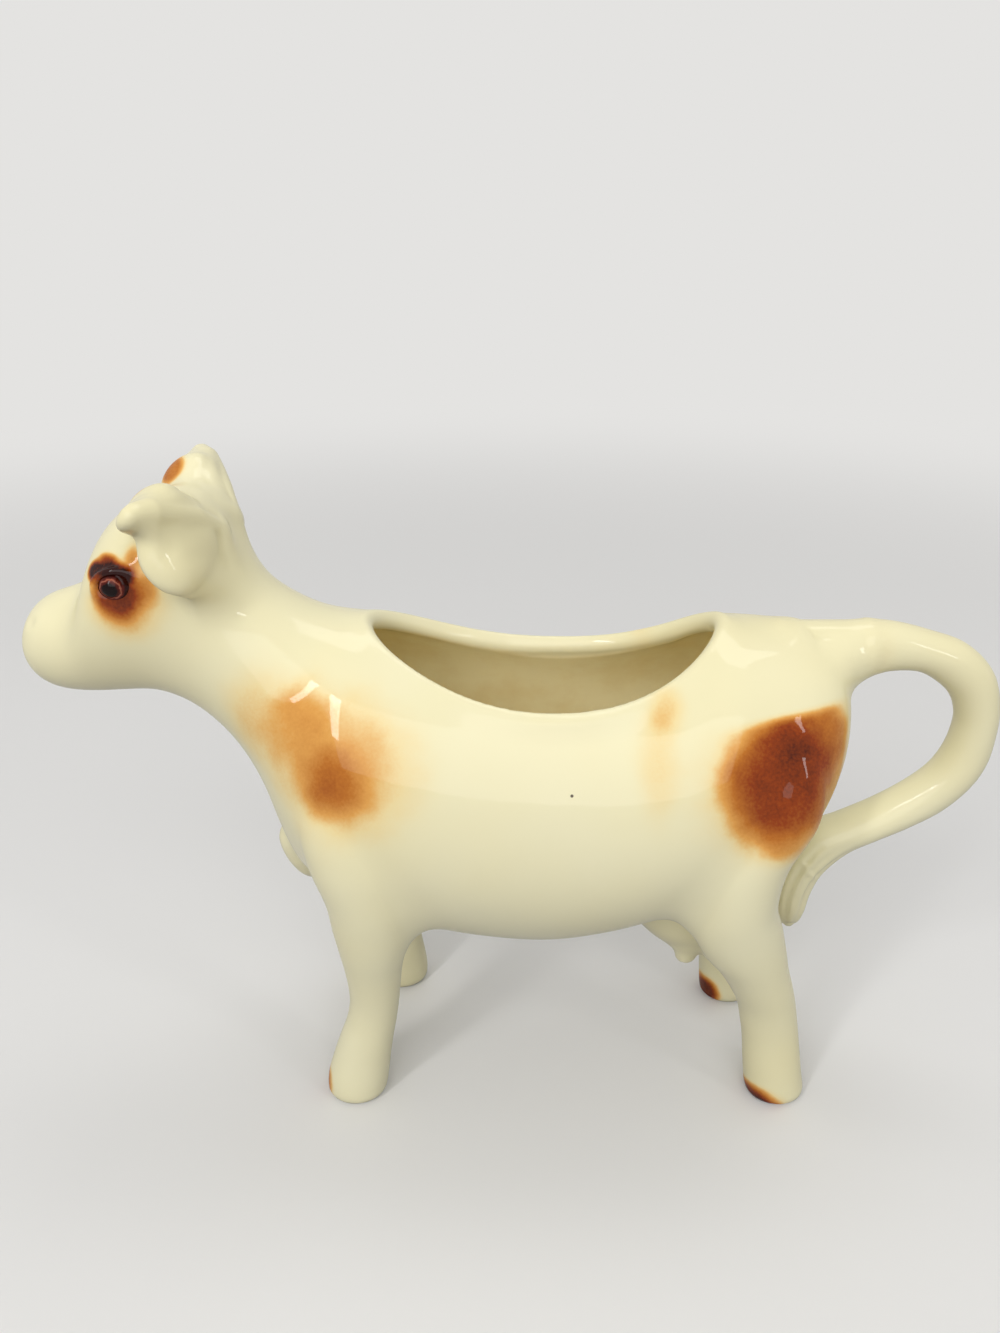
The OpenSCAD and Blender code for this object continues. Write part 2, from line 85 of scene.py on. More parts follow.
# A section is [top x, top z, low x, low z, half width, y, widest share], and a form is smooth between its
# sections. These tables give them as shares of a form's own sizes: the barrel's, the head's and the tail's
# leave out y, and the neck's run from the shoulder to the poll, the last share for all of a section's rest.
BARREL_SHARES = [
    [-0.004, 0.715, -0.002, 0.655, 0.03, 0.5],
    [0.000, 0.750, 0.003, 0.620, 0.16, 0.5],
    [0.008, 0.850, 0.022, 0.500, 0.40, 0.5],
    [0.035, 0.935, 0.060, 0.360, 0.63, 0.5],
    [0.095, 0.968, 0.115, 0.220, 0.81, 0.5],
    [0.170, 0.980, 0.180, 0.130, 0.92, 0.48],
    [0.240, 0.978, 0.250, 0.115, 0.97, 0.48],
    [0.305, 0.935, 0.325, 0.082, 0.99, 0.48],
    [0.400, 0.912, 0.410, 0.036, 1.00, 0.48],
    [0.520, 0.920, 0.520, 0.003, 1.00, 0.48],
    [0.650, 0.940, 0.650, 0.022, 1.00, 0.48],
    [0.740, 0.965, 0.750, 0.060, 0.985, 0.48],
    [0.810, 0.986, 0.835, 0.110, 0.95, 0.47],
    [0.855, 0.998, 0.910, 0.175, 0.88, 0.46],
    [0.885, 1.008, 0.965, 0.265, 0.78, 0.46],
    [0.912, 1.022, 0.998, 0.385, 0.67, 0.47],
]
NECK_SHARES = [
    [0.24, 0.12, 0.14, 0.32, 0.45],
    [0.52, 0.30, 0.37, 0.64, 0.82],
    [0.78, 0.56, 0.69, 0.89, 1.00],
]
HEAD_SHARES = [
    [0.000, 0.735, 0.395, 0.010, 0.93, 0.50],
    [0.085, 0.920, 0.480, 0.012, 0.97, 0.52],
    [0.230, 0.975, 0.560, 0.008, 1.00, 0.54],
    [0.390, 0.912, 0.630, 0.002, 0.98, 0.56],
    [0.520, 0.826, 0.690, 0.000, 0.92, 0.57],
    [0.600, 0.708, 0.740, 0.000, 0.84, 0.55],
    [0.640, 0.575, 0.790, 0.003, 0.73, 0.52],
    [0.715, 0.515, 0.840, 0.010, 0.65, 0.50],
    [0.810, 0.487, 0.890, 0.030, 0.63, 0.50],
    [0.900, 0.446, 0.932, 0.068, 0.57, 0.50],
    [0.962, 0.370, 0.968, 0.135, 0.42, 0.50],
    [0.984, 0.285, 0.986, 0.205, 0.10, 0.50],
]
# A leg's: height, place from the foot to the top, length, width, place across.
FRONT_LEG_SHARES = [
    [0.000, 0.02, 0.80, 0.78, 0.00], [0.012, 0.02, 0.93, 0.92, 0.00],
    [0.040, 0.04, 1.00, 1.00, 0.00], [0.110, 0.12, 1.01, 0.98, 0.00],
    [0.220, 0.32, 0.95, 0.92, 0.00], [0.330, 0.55, 0.88, 0.86, 0.02],
    [0.430, 0.78, 0.82, 0.82, 0.04], [0.540, 0.94, 0.80, 0.82, 0.08],
    [0.650, 1.00, 0.84, 0.86, 0.14], [0.760, 1.02, 0.92, 0.95, 0.20],
    [0.870, 1.06, 1.05, 1.08, 0.26], [1.000, 1.08, 1.20, 1.22, 0.31],
    [1.150, 1.04, 1.30, 1.36, 0.34], [1.350, 0.78, 1.52, 1.46, 0.34],
    [1.550, 0.50, 1.50, 1.36, 0.26], [1.750, 0.36, 1.10, 0.96, 0.06],
]
REAR_LEG_SHARES = [
    [0.000, 0.00, 0.80, 0.78, 0.00], [0.012, 0.00, 0.93, 0.92, 0.00],
    [0.040, 0.01, 0.98, 1.00, 0.00], [0.110, 0.06, 0.97, 0.98, 0.00],
    [0.220, 0.13, 0.95, 0.94, 0.01], [0.330, 0.20, 0.93, 0.90, 0.03],
    [0.430, 0.28, 0.93, 0.90, 0.06], [0.540, 0.38, 0.94, 0.94, 0.10],
    [0.650, 0.54, 1.01, 1.02, 0.16], [0.760, 0.74, 1.12, 1.12, 0.22],
    [0.870, 0.96, 1.32, 1.24, 0.28], [1.000, 1.14, 1.40, 1.36, 0.33],
    [1.150, 1.23, 1.27, 1.46, 0.36], [1.350, 1.15, 1.32, 1.50, 0.36],
    [1.550, 0.80, 1.40, 1.44, 0.32], [1.750, 0.64, 1.20, 1.20, 0.20],
    [1.900, 0.60, 0.70, 0.70, 0.04],
]
SEAM_ROW = 11  # where a leg meets the barrel
# An ear's and a horn's: place across, x, z, length, height.
EAR_SHARES = [
    [0.35, 0.02, 0.00, 0.92, 0.98], [0.62, -0.05, -0.03, 1.00, 1.00],
    [0.80, -0.13, -0.09, 0.98, 0.98], [0.91, -0.19, -0.14, 0.82, 0.82],
    [0.975, -0.23, -0.18, 0.52, 0.52], [1.00, -0.25, -0.20, 0.18, 0.18],
]
HORN_SHARES = [
    [0.15, 0.10, -0.45, 0.90, 0.90], [0.40, 0.02, 0.05, 0.98, 0.88],
    [0.62, 0.02, 0.14, 0.84, 0.66], [0.83, 0.00, 0.22, 0.58, 0.48],
    [0.955, -0.02, 0.27, 0.36, 0.32], [1.00, -0.03, 0.28, 0.14, 0.12],
]
EAR_AT = (POLL_X - 0.17 * HEAD_L, JAW_H + 0.76 * HEAD_H)
HORN_AT = (POLL_X - 0.27 * HEAD_L, JAW_H + 0.91 * HEAD_H)
EYE_AT = (POLL_X - 0.442 * HEAD_L, JAW_H + 0.625 * HEAD_H)
TAIL_SHARES = [
    [-0.28, 0.985, -0.20, 0.80, 1.05], [-0.08, 1.000, -0.02, 0.84, 1.03],
    [0.10, 1.005, 0.10, 0.855, 1.00], [0.28, 0.998, 0.24, 0.864, 0.98],
    [0.50, 0.972, 0.42, 0.862, 0.96], [0.72, 0.936, 0.56, 0.830, 0.96],
    [0.90, 0.862, 0.67, 0.785, 0.96], [0.985, 0.762, 0.73, 0.725, 0.96],
    [1.00, 0.660, 0.735, 0.672, 0.96], [0.98, 0.575, 0.70, 0.605, 0.96],
    [0.905, 0.500, 0.62, 0.543, 0.96], [0.76, 0.425, 0.47, 0.485, 0.96],
    [0.56, 0.368, 0.29, 0.432, 0.98], [0.37, 0.325, 0.09, 0.385, 1.00],
    [0.19, 0.280, -0.08, 0.348, 1.02], [0.045, 0.212, -0.20, 0.262, 1.02],
    [-0.02, 0.140, -0.26, 0.168, 1.00], [-0.045, 0.070, -0.26, 0.080, 0.92],
    [-0.08, 0.018, -0.22, 0.024, 0.62], [-0.12, 0.000, -0.16, 0.002, 0.25],
]
TUFT_ROW = 13  # where the tail's tuft starts
# The udder's: height, length, width, x. A teat's and the brisket's: height, width.
UDDER_SHARES = [
    [0.00, 0.02, 0.02, 0.14], [0.03, 0.26, 0.32, 0.14], [0.14, 0.50, 0.60, 0.12],
    [0.34, 0.70, 0.80, 0.09], [0.62, 0.88, 0.95, 0.06], [1.00, 1.04, 1.00, 0.04],
    [1.30, 1.10, 0.96, 0.03],
]
TEAT_SHARES = [
    [0.00, 0.20], [0.04, 0.50], [0.14, 0.76], [0.34, 0.95], [0.70, 1.00], [1.20, 1.10], [2.00, 1.20],
]
TEATS = {
    "front_left_teat": (0.08, LEFT), "front_right_teat": (0.08, RIGHT),
    "rear_left_teat": (0.34, LEFT), "rear_right_teat": (0.34, RIGHT),
}
BRISKET_SHARES = [
    [0.00, 0.10], [0.05, 0.32], [0.18, 0.64], [0.42, 0.94], [0.70, 1.00], [0.92, 0.55], [1.00, 0.10],
]
# From the back of an eyeball to its front: place along its axis and radius, with the iris raised.
EYE_PROFILE = [
    (-2.6, 0.05), (-2.4, 1.4), (-1.8, 2.4), (-0.9, 3.05), (0.0, 3.25), (0.6, 3.22), (1.1, 3.06),
    (1.5, 2.84), (1.78, 2.62), (1.86, 2.5), (1.88, 2.38), (1.98, 2.28), (2.16, 2.18), (2.42, 1.98),
    (2.70, 1.70), (2.96, 1.30), (3.12, 0.9), (3.21, 0.5), (3.24, 0.05),
]
EYE_SUNK, EYE_WAY, EYE_FLAT = 0.6, (-0.22, 0.95, 0.14), 0.9  # how deep, which way and how flat an eye sits
EAR_LEAN, EAR_DROOP = -0.6, (0.9, 0.7)
SOFTENED = 2.0  # how far the wet sponge wore the trunk's edges
TAIL_SADDLE, SADDLE_R = [(49.0, 0.0, 96.4), (57.0, 0.0, 96.4), (65.0, 0.0, 96.4)], 5.0  # slip before the tail
# Fillets as shares of the slip's reach; some change with the height, or with x.
LEG_SLIP, SADDLE_SLIP, UDDER_SLIP, TEAT_SLIP, BRISKET_SLIP, RIM_SLIP = 1.6, 0.8, 0.4, 0.7, 1.2, 0.8
TAIL_SLIP = (72.0, 88.0, 97.0), (0.4, 1.7, 2.2)
EAR_SLIP, HORN_SLIP = ((-63.0, -57.0), (0.2, 2.0)), ((-66.0, -60.0), (0.25, 1.5))
KEEL_SLIP = (-62.0, -57.0), (0.6, 1.4)
HOLE_EDGE, SPACE_EDGE, MOUTH_EDGE = 0.6, 2.4, 0.9  # how far each cut's edge is rounded
MOUTH_FROM, MOUTH_TO = -1.5, 9.2  # the pouring hole, from before the nose to the hollow
LID_L, LID_H, LID_R, LID_SLIP = 3.7, 2.7, 0.8, 1.4
LID_OUT, LID_BEND = 0.75, 0.5  # how far a lid stands out, and how much its corners bend back and slant
NOSTRIL_X, NOSTRIL_H, NOSTRIL_Y, NOSTRIL_R = 0.910, 0.400, 6.4, 1.4
GROOVES, GROOVE_R = (0.24, 0.50, 0.76), 0.95  # where the tuft's grooves run, as shares of its thickness
GROOVE_OUT, GROOVE_EDGE = 0.25, 0.8  # how far a groove's middle stands out, and how far its edge is rounded
BAND = 11.0  # how far from a form its distance is known, past the widest fillet
FAR = 12.0  # the distance where no form is near
FIELD = ((-99.0, -34.0, -4.0), (99.0, 34.0, 134.0))  # the box that the skin is modelled in
STEPS = 6  # sections drawn between two listed ones
CRUMB = 15.0  # the area, in square mm, under which a loose bit of mesh is a crumb
ON_SKIN, SAME_WAY = 0.25, 0.6  # how near the skin a point is on it, and the least cosine to its slope there
KNIFE, CORE = 1.0, 1.5  # how far a knife stands out round a part, and how deep the cut goes in the trunk
EAR_KNIFE, TEAT_KNIFE, UDDER_KNIFE, TEAT_CORE, BRISKET_CORE = 0.8, 0.7, 1.4, 0.8, 1.2
LEG_DROP, TEAT_DROP, UDDER_DROP = 1.0, 0.8, 2.6  # how far a knife's foot is below the part's
TUFT_PAST, PAST = 2.0, 160.0  # how far a knife goes past the tuft's end, and past the whole cow
SLOPE_STEP, HOLLOW_REACH = 0.6, 8.0  # how far apart a slope is measured, and how far the hollow is known
CREASE_REACH, CREASE_LIMIT = 1.2, 3.0  # how wide a fold is looked for, and the depth that counts in it
SIDES, BALL_SIDES = 96, 32  # points round a section, and round a ball


# Lofts.

def smooth(rows):
    """Sections with more between them, on a cubic that leaves each with its neighbours' slope."""
    rows = np.array(rows, float)
    padded = np.vstack([rows[:1], rows, rows[-1:]])
    out = []
    for i in range(len(rows) - 1):
        a, b, c, d = padded[i:i + 4]
        for t in np.arange(STEPS) / STEPS:
            cubic = (2 * a - 5 * b + 4 * c - d) * t**2 + (3 * b - 3 * c + d - a) * t**3
            out.append(b + ((c - a) * t + cubic) / 2)
    return np.array(out + [rows[-1]])


def grown(rows, t):
    """The sections let out by t on every side, or drawn in where t is negative."""
    rows = np.array(rows, float)
    way = rows[:, 0:2] - rows[:, 2:4]
    way /= np.linalg.norm(way, axis=1)[:, None]
    rows[:, 0:2] += t * way
    rows[:, 2:4] -= t * way
    rows[:, 4] += t
    return rows


def past_end(rows, reach):
    """The sections with one more, reach past the last."""
    step = (rows[-1, :4] - rows[-2, :4]).reshape(2, 2).mean(0)
    last = rows[-1].copy()
    last[:4] += np.tile(step / np.linalg.norm(step) * reach, 2)
    return np.vstack([rows, last])


def turns(count):
    """Angles that share out a full turn."""
    return 2 * np.pi * np.arange(count) / count


def solid(rows):
    """A closed form over the sections."""
    rows = np.asarray(rows)
    top = np.stack([rows[:, 0], rows[:, 5], rows[:, 1]], 1)
    low = np.stack([rows[:, 2], rows[:, 5], rows[:, 3]], 1)
    mid = low + (top - low) * rows[:, 6:7]
    turn = turns(SIDES)
    across = rows[:, None, 4:5] * np.cos(turn)[None, :, None] * np.array([0.0, 1.0, 0.0])
    rise = np.where(np.sin(turn)[None, :, None] > 0, (top - mid)[:, None], (mid - low)[:, None])
    return loft(mid[:, None] + across + rise * np.sin(turn)[None, :, None])


def side_form(shares, side, span, at, t, lean, grow):
    """An ear or a horn, which stands out across the cow."""
    turn = -side * turns(SIDES)
    out = []
    for s in smooth(shares):
        along = (s[3] * t / 2 + grow) * np.cos(turn)
        rise = lean * along + (s[4] * t / 2 + grow) * np.sin(turn)
        y = np.full(SIDES, side * s[0] * span / 2)
        out.append(np.stack([at[0] + s[1] * t + along, y, at[1] + s[2] * t + rise], 1))
    if grow:
        out.append(out[-1] + np.array([0.0, side * grow, 0.0]))
    return loft(np.array(out))


def loft(sections):
    """Points, quads and end triangles of a closed skin over rings of points."""
    count, sides = sections.shape[:2]
    points = np.vstack([sections.reshape(-1, 3), sections[0].mean(0), sections[-1].mean(0)])
    i, j = np.meshgrid(np.arange(count - 1), np.arange(sides), indexing="ij")
    p, q = i * sides + j, i * sides + (j + 1) % sides
    quads = np.stack([p, p + sides, q + sides, q], -1).reshape(-1, 4)
    near = np.arange(sides)
    nxt = (near + 1) % sides
    first, last = count * sides, count * sides + 1
    end = (count - 1) * sides
    tris = np.vstack([
        np.stack([near, nxt, np.full(sides, first)], 1),
        np.stack([end + nxt, end + near, np.full(sides, last)], 1),
    ])
    return points, quads, tris


def tube(path, radius, sides=16, closed=False):
    """A round bar along a path, with a radius at each point."""
    path = np.array(path, float)
    radius = np.broadcast_to(radius, len(path))
    ahead = np.roll(path, -1, 0) - np.roll(path, 1, 0)
    if not closed:
        ahead[0], ahead[-1] = path[1] - path[0], path[-1] - path[-2]
    ahead /= np.linalg.norm(ahead, axis=1)[:, None]
    side = np.cross(ahead, np.where(np.abs(ahead[:, 2:3]) > 0.9, [[1.0, 0.0, 0.0]], [UP]))
    side /= np.linalg.norm(side, axis=1)[:, None]
    rise = np.cross(side, ahead)
    turn = turns(sides)
    out = side[:, None] * np.cos(turn)[None, :, None] + rise[:, None] * np.sin(turn)[None, :, None]
    sections = path[:, None] + radius[:, None, None] * out
    if not closed:
        return loft(sections)
    sections = np.vstack([sections, sections[:1]])
    points, quads, _ = loft(sections)
    return points, quads, np.zeros((0, 3), int)


def ball(centre, reach):
    """An ellipsoid, or a ball where reach is one number."""
    turn = turns(BALL_SIDES)
    sections = []
    for s in np.sin(np.linspace(-1, 1, BALL_SIDES + 1) * math.pi / 2):
        r = max(math.sqrt(max(1 - s * s, 0)), 0.01)
        sections.append(np.stack([r * np.cos(turn), r * np.sin(turn), np.full(BALL_SIDES, s)], 1))
    points, quads, tris = loft(np.array(sections))
    return points * np.array(reach) + np.array(centre), quads, tris


# The clay's own forms.

def drawn(shares, x, z, length, height, width):
    """Sections from shares of a form's length, towards the nose, of its height and of its width."""
    return [[x - s[0] * length, z + s[1] * height, x - s[2] * length, z + s[3] * height,
             s[4] * width / 2, 0.0, s[5] if len(s) > 5 else 0.5] for s in shares]


def level(x, z, half_length, half_width, y=0.0):
    """A section that lies level."""
    return [x - half_length, z, x + half_length, z, half_width, y, 0.5]


def trunk_rows():
    barrel = drawn(BARREL_SHARES, RUMP_X, BELLY_H, BARREL_L, BARREL_H, BARREL_W)
    head = drawn(HEAD_SHARES, POLL_X, JAW_H, HEAD_L, HEAD_H, HEAD_W)
    shoulder, poll = np.array(barrel[-1]), np.array(head[0])
    neck = [shoulder + np.array([*s[:4], s[4], s[4], s[4]]) * (poll - shoulder) for s in NECK_SHARES]
    return smooth(np.vstack([barrel, neck, head]))


NECK_START = (len(BARREL_SHARES) - 1) * STEPS
HEAD_START = NECK_START + (len(NECK_SHARES) + 1) * STEPS
SPACE_START, SPACE_END = 3 * STEPS, 2 * STEPS + STEPS // 2
TRUNK = trunk_rows()


def cream_space_rows(wall):
    """The trunk's sections, each end drawn in until a wall stays to the trunk's whole profile."""
    rows = TRUNK[SPACE_START:len(TRUNK) - SPACE_END].copy()
    step = wall / 24
    for row in rows:
        top, low = row[:2].copy(), row[2:4].copy()
        way = (top - low) / np.linalg.norm(top - low)
        for place, end, inward in ((slice(0, 2), top, -way), (slice(2, 4), low, way)):
            tries = end + np.arange(wall, 4 * wall, step)[:, None] * inward
            gap = np.linalg.norm(tries[:, None] - TRUNK[None, :, place], axis=2).min(1)
            row[place] = tries[np.argmax(np.append(gap[:-1] > wall - step, True))]
    rows[:, 4] -= wall
    return rows


def leg_rows(name):
    foot_x, side, splay = FEET[name]
    shares, top_x = ((FRONT_LEG_SHARES, FRONT_TOP_X) if name.startswith("front")
                     else (REAR_LEG_SHARES, REAR_TOP_X))
    out = []
    for s in shares:
        mid, z = foot_x + s[1] * (top_x - foot_x), s[0] * LEG_H
        y = side * (TRACK_W / 2 + s[4] * (BARREL_W - TRACK_W) / 2 + max(1 - s[0], 0) * splay)
        out.append(level(mid, z, s[2] * FOOT_L / 2, s[3] * FOOT_W / 2, y))
    return smooth(out)


def tail_rows():
    return smooth(drawn(TAIL_SHARES, RUMP_X, TAIL_H, RUMP_X - HANDLE_X, HANDLE_H - TAIL_H, HANDLE_T))


def ear_form(side, grow=0.0):
    """An ear set a little back from the clay's own, and leaning, so that it droops."""
    at = (EAR_AT[0] + EAR_DROOP[0], EAR_AT[1] + EAR_DROOP[1])
    return side_form(EAR_SHARES, side, EAR_SPAN, at, EAR_T, EAR_LEAN, grow)


def horn_form(side, grow=0.0):
    return side_form(HORN_SHARES, side, HORN_SPAN, HORN_AT, HORN_T, HORN_LEAN, grow)


def udder_rows():
    drop = BELLY_H + 0.083 * BARREL_H - UDDER_H
    return smooth([level(UDDER_X + s[3] * UDDER_L, UDDER_H + s[0] * drop,
                         s[1] * UDDER_L / 2, s[2] * UDDER_W / 2) for s in UDDER_SHARES])


def teat_rows(name):
    share, side = TEATS[name]
    x, y = UDDER_X + share * UDDER_L, side * 0.46 * UDDER_W / 2
    return smooth([level(x, UDDER_H - TEAT_L + s[0] * TEAT_L, s[1] * TEAT_D / 2, s[1] * TEAT_D / 2, y)
                   for s in TEAT_SHARES])


def brisket_rows():
    foot_z = BELLY_H + 0.133 * BARREL_H
    return smooth([level(CHEST_X + (0.45 - 0.25 * s[0]) * BRISKET_W, foot_z + s[0] * BRISKET_H,
                         s[1] * BRISKET_W / 2, s[1] * BRISKET_W / 2) for s in BRISKET_SHARES])


def rim_path(rim_d):
    turn = turns(160)
    share = np.cos(turn)
    rise = np.abs(share) ** np.where(share < 0, 2.0, 2.7)
    return np.stack([
        HOLE_X + HOLE_L / 2 * share, HOLE_W / 2 * np.sin(turn),
        RIM_LOW_H + (BACK_H - RIM_LOW_H) * rise - rim_d / 2], 1)


# One skin of clay and glaze.

class Skin:
    """Signed distances to the surface, on a grid over the whole cow."""

    def __init__(self, pitch):
        self.pitch = pitch
        self.first = np.floor(np.array(FIELD[0]) / pitch).astype(int)
        last = np.ceil(np.array(FIELD[1]) / pitch).astype(int)
        self.field = np.full(tuple(last - self.first + 1), FAR, np.float32)

    def near(self, form, reach):
        """The distance to a form, in the box it reaches, and that box."""
        points, quads, tris = form
        low = np.floor((points.min(0) - reach) / self.pitch).astype(int) - 2
        high = np.ceil((points.max(0) + reach) / self.pitch).astype(int) + 3
        low = np.maximum(low, self.first)
        high = np.minimum(high, self.first + self.field.shape)
        grid = vdb.FloatGrid.createLevelSetFromPolygons(
            points.astype(np.float32), triangles=tris.astype(np.uint32), quads=quads.astype(np.uint32),
            transform=vdb.createLinearTransform(self.pitch), halfWidth=reach / self.pitch + 2)
        there = np.empty(tuple(high - low), np.float32)
        grid.copyToArray(there, tuple(int(n) for n in low))
        box = tuple(slice(a, b) for a, b in zip(low - self.first, high - self.first))
        return there, box

    def add(self, form, fillet=0.0, sign=1.0):
        """Joins a form to the clay with a fillet, or cuts it out where sign is -1.

        The fillet fades where the two surfaces run the same way, so that nothing swells there. It may
        be a function of x and of the height over the table.
        """
        there, box = self.near(form, BAND)
        here = self.field[box] * sign
        if callable(fillet):
            x, _, z = [(n + np.arange(span.start, span.stop)) * self.pitch
                       for n, span in zip(self.first, box)]
            fillet = fillet(x[:, None, None], z[None, None, :])
        if np.any(fillet):
            slopes = [np.gradient(a, self.pitch) for a in (here, there)]
            along = sum(a * b for a, b in zip(*slopes))
            k = np.maximum(fillet * blurred(np.clip(1 - along, 0, 1), 1), 1e-3)
            mix = np.maximum(k - np.abs(here - there), 0) / k
            joined = np.minimum(here, there) - mix * mix * k / 4
        else:
            joined = np.minimum(here, there)
        self.field[box] = joined * sign

    def cut(self, form, fillet):
        self.add(form, fillet, sign=-1.0)

    def soften(self, reach):
        """Wears down the edges that are sharper than reach, in mm."""
        self.field = blurred(self.field, max(1, round(reach / self.pitch)))

    def at(self, points, array=None):
        """Values of a grid at points in mm, between its own."""
        array = self.field if array is None else array
        place = points / self.pitch - self.first
        low = np.clip(np.floor(place).astype(int), 0, np.array(array.shape) - 2)
        t = (place - low).astype(np.float32)
        out = 0
        for corner in np.ndindex(2, 2, 2):
            share = np.prod([t[:, n] if c else 1 - t[:, n] for n, c in enumerate(corner)], axis=0)
            out = out + share * array[tuple((low + corner).T)]
        return out

    def slope(self, points):
        moves = np.eye(3) * SLOPE_STEP
        out = np.stack([self.at(points + m) - self.at(points - m) for m in moves], 1)
        return out / np.maximum(np.linalg.norm(out, axis=1), 1e-9)[:, None]

    def mesh(self):
        """Points, quads and triangles where the distance is nought."""
        limit = 3 * self.pitch
        grid = vdb.FloatGrid(limit)
        grid.copyFromArray(np.clip(self.field, -limit, limit), tuple(int(n) for n in self.first))
        grid.transform = vdb.createLinearTransform(self.pitch)
        points, tris, quads = grid.convertToPolygons(0.0, 0.0)
        return points, quads, tris


# Meshes.

def listed(items, name, width, kind=np.float32):
    """A property of many items, as one flat array."""
    out = np.empty(len(items) * width, kind)
    items.foreach_get(name, out)
    return out


def coords(mesh):
    return listed(mesh.vertices, "co", 3).reshape(-1, 3)


def volume(mesh):
    mesh.calc_loop_triangles()
    corner = listed(mesh.loop_triangles, "vertices", 3, np.int32)
    a, b, c = coords(mesh)[corner].reshape(-1, 3, 3).transpose(1, 0, 2)
    return float(np.einsum("ij,ij->i", a, np.cross(b, c)).sum() / 6)


def new_object(name, form):
    """An object in the scene whose faces look outward."""
    points, quads, tris = form
    mesh = bpy.data.meshes.new(name)
    faces = [tuple(int(n) for n in f) for f in (*quads, *tris)]
    mesh.from_pydata([tuple(p) for p in (np.asarray(points) * MM).tolist()], [], faces)
    mesh.update()
    if volume(mesh) < 0:
        mesh.flip_normals()
    made = bpy.data.objects.new(name, mesh)
    bpy.context.scene.collection.objects.link(made)
    return made


def settled(piece):
    """Takes the object's modifiers into its mesh."""
    seen = piece.evaluated_get(bpy.context.evaluated_depsgraph_get())
    mesh = bpy.data.meshes.new_from_object(seen)
    old = piece.data
    piece.modifiers.clear()
    piece.data = mesh
    mesh.name = piece.name
    bpy.data.meshes.remove(old)


def combined(piece, tool, operation):
    """Puts a Boolean with a tool into the object's mesh."""
    modifier = piece.modifiers.new("combine", "BOOLEAN")
    modifier.operation = operation
    modifier.solver = "MANIFOLD"
    modifier.object = tool
    settled(piece)
    if not piece.data.polygons:
        raise RuntimeError(f"{piece.name} came out empty from {operation} with {tool.name}")


def discard(tool):
    mesh = tool.data
    bpy.data.objects.remove(tool)
    bpy.data.meshes.remove(mesh)


def swept(piece):
    """Takes out the crumbs that the cuts left loose."""
    work = bmesh.new()
    work.from_mesh(piece.data)
    seen, crumbs = set(), []
    for start in work.faces:
        if start in seen:
            continue
        seen.add(start)
        island = [start]
        for face in island:
            for edge in face.edges:
                if len(edge.link_faces) != 2:
                    continue
                for beside in edge.link_faces:
                    if beside not in seen:
                        seen.add(beside)
                        island.append(beside)
        if sum(face.calc_area() for face in island) < CRUMB * MM**2:
            crumbs += island
    bmesh.ops.delete(work, geom=crumbs, context="FACES")
    work.to_mesh(piece.data)
    work.free()
    piece.data.update()


def dressed(piece, skin):
    """Shades the faces that lie on the skin by the skin's own slope, so that no seam shows."""
    mesh = piece.data
    points = coords(mesh) / MM
    slope = skin.slope(points)
    on_skin = np.abs(skin.at(points)) < ON_SKIN
    loops = listed(mesh.loops, "vertex_index", 1, np.int32)
    totals = listed(mesh.polygons, "loop_total", 1, np.int32)
    flat = np.repeat(listed(mesh.polygons, "normal", 3).reshape(-1, 3), totals, axis=0)
    follow = on_skin[loops] & (np.einsum("ij,ij->i", flat, slope[loops]) > SAME_WAY)
    normals = np.where(follow[:, None], slope[loops], flat)
    mesh.polygons.foreach_set("use_smooth", np.ones(len(totals), bool))
    mesh.normals_split_custom_set(normals.tolist())
    for name, array in skin.shades.items():
        layer = mesh.attributes.new(name, "FLOAT", "POINT")
        layer.data.foreach_set("value", skin.at(points, array).astype(np.float32))
    mesh.update()


def place(made, slot, *nodes):
    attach(made, "root")
    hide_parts(*nodes)


# Forming the skin.

def blurred(array, reach):
    """The mean of the values round each, reach cells to each side, twice along each axis."""
    width = 2 * reach + 1
    for axis in (0, 0, 1, 1, 2, 2):
        pad = [(0, 0)] * 3
        pad[axis] = (reach + 1, reach)
        total = np.cumsum(np.pad(array, pad, mode="edge"), axis=axis, dtype=np.float32)
        ahead, behind = [slice(None)] * 3, [slice(None)] * 3
        ahead[axis], behind[axis] = slice(width, None), slice(None, -width)
        array = (total[tuple(ahead)] - total[tuple(behind)]) / width
    return array


def prism(outline, low, high):
    """A solid that stands on an outline of points in X and Y."""
    outline = np.asarray(outline)[:, :2]
    return loft(np.array([np.column_stack([outline, np.full(len(outline), z)]) for z in (low, high)]))


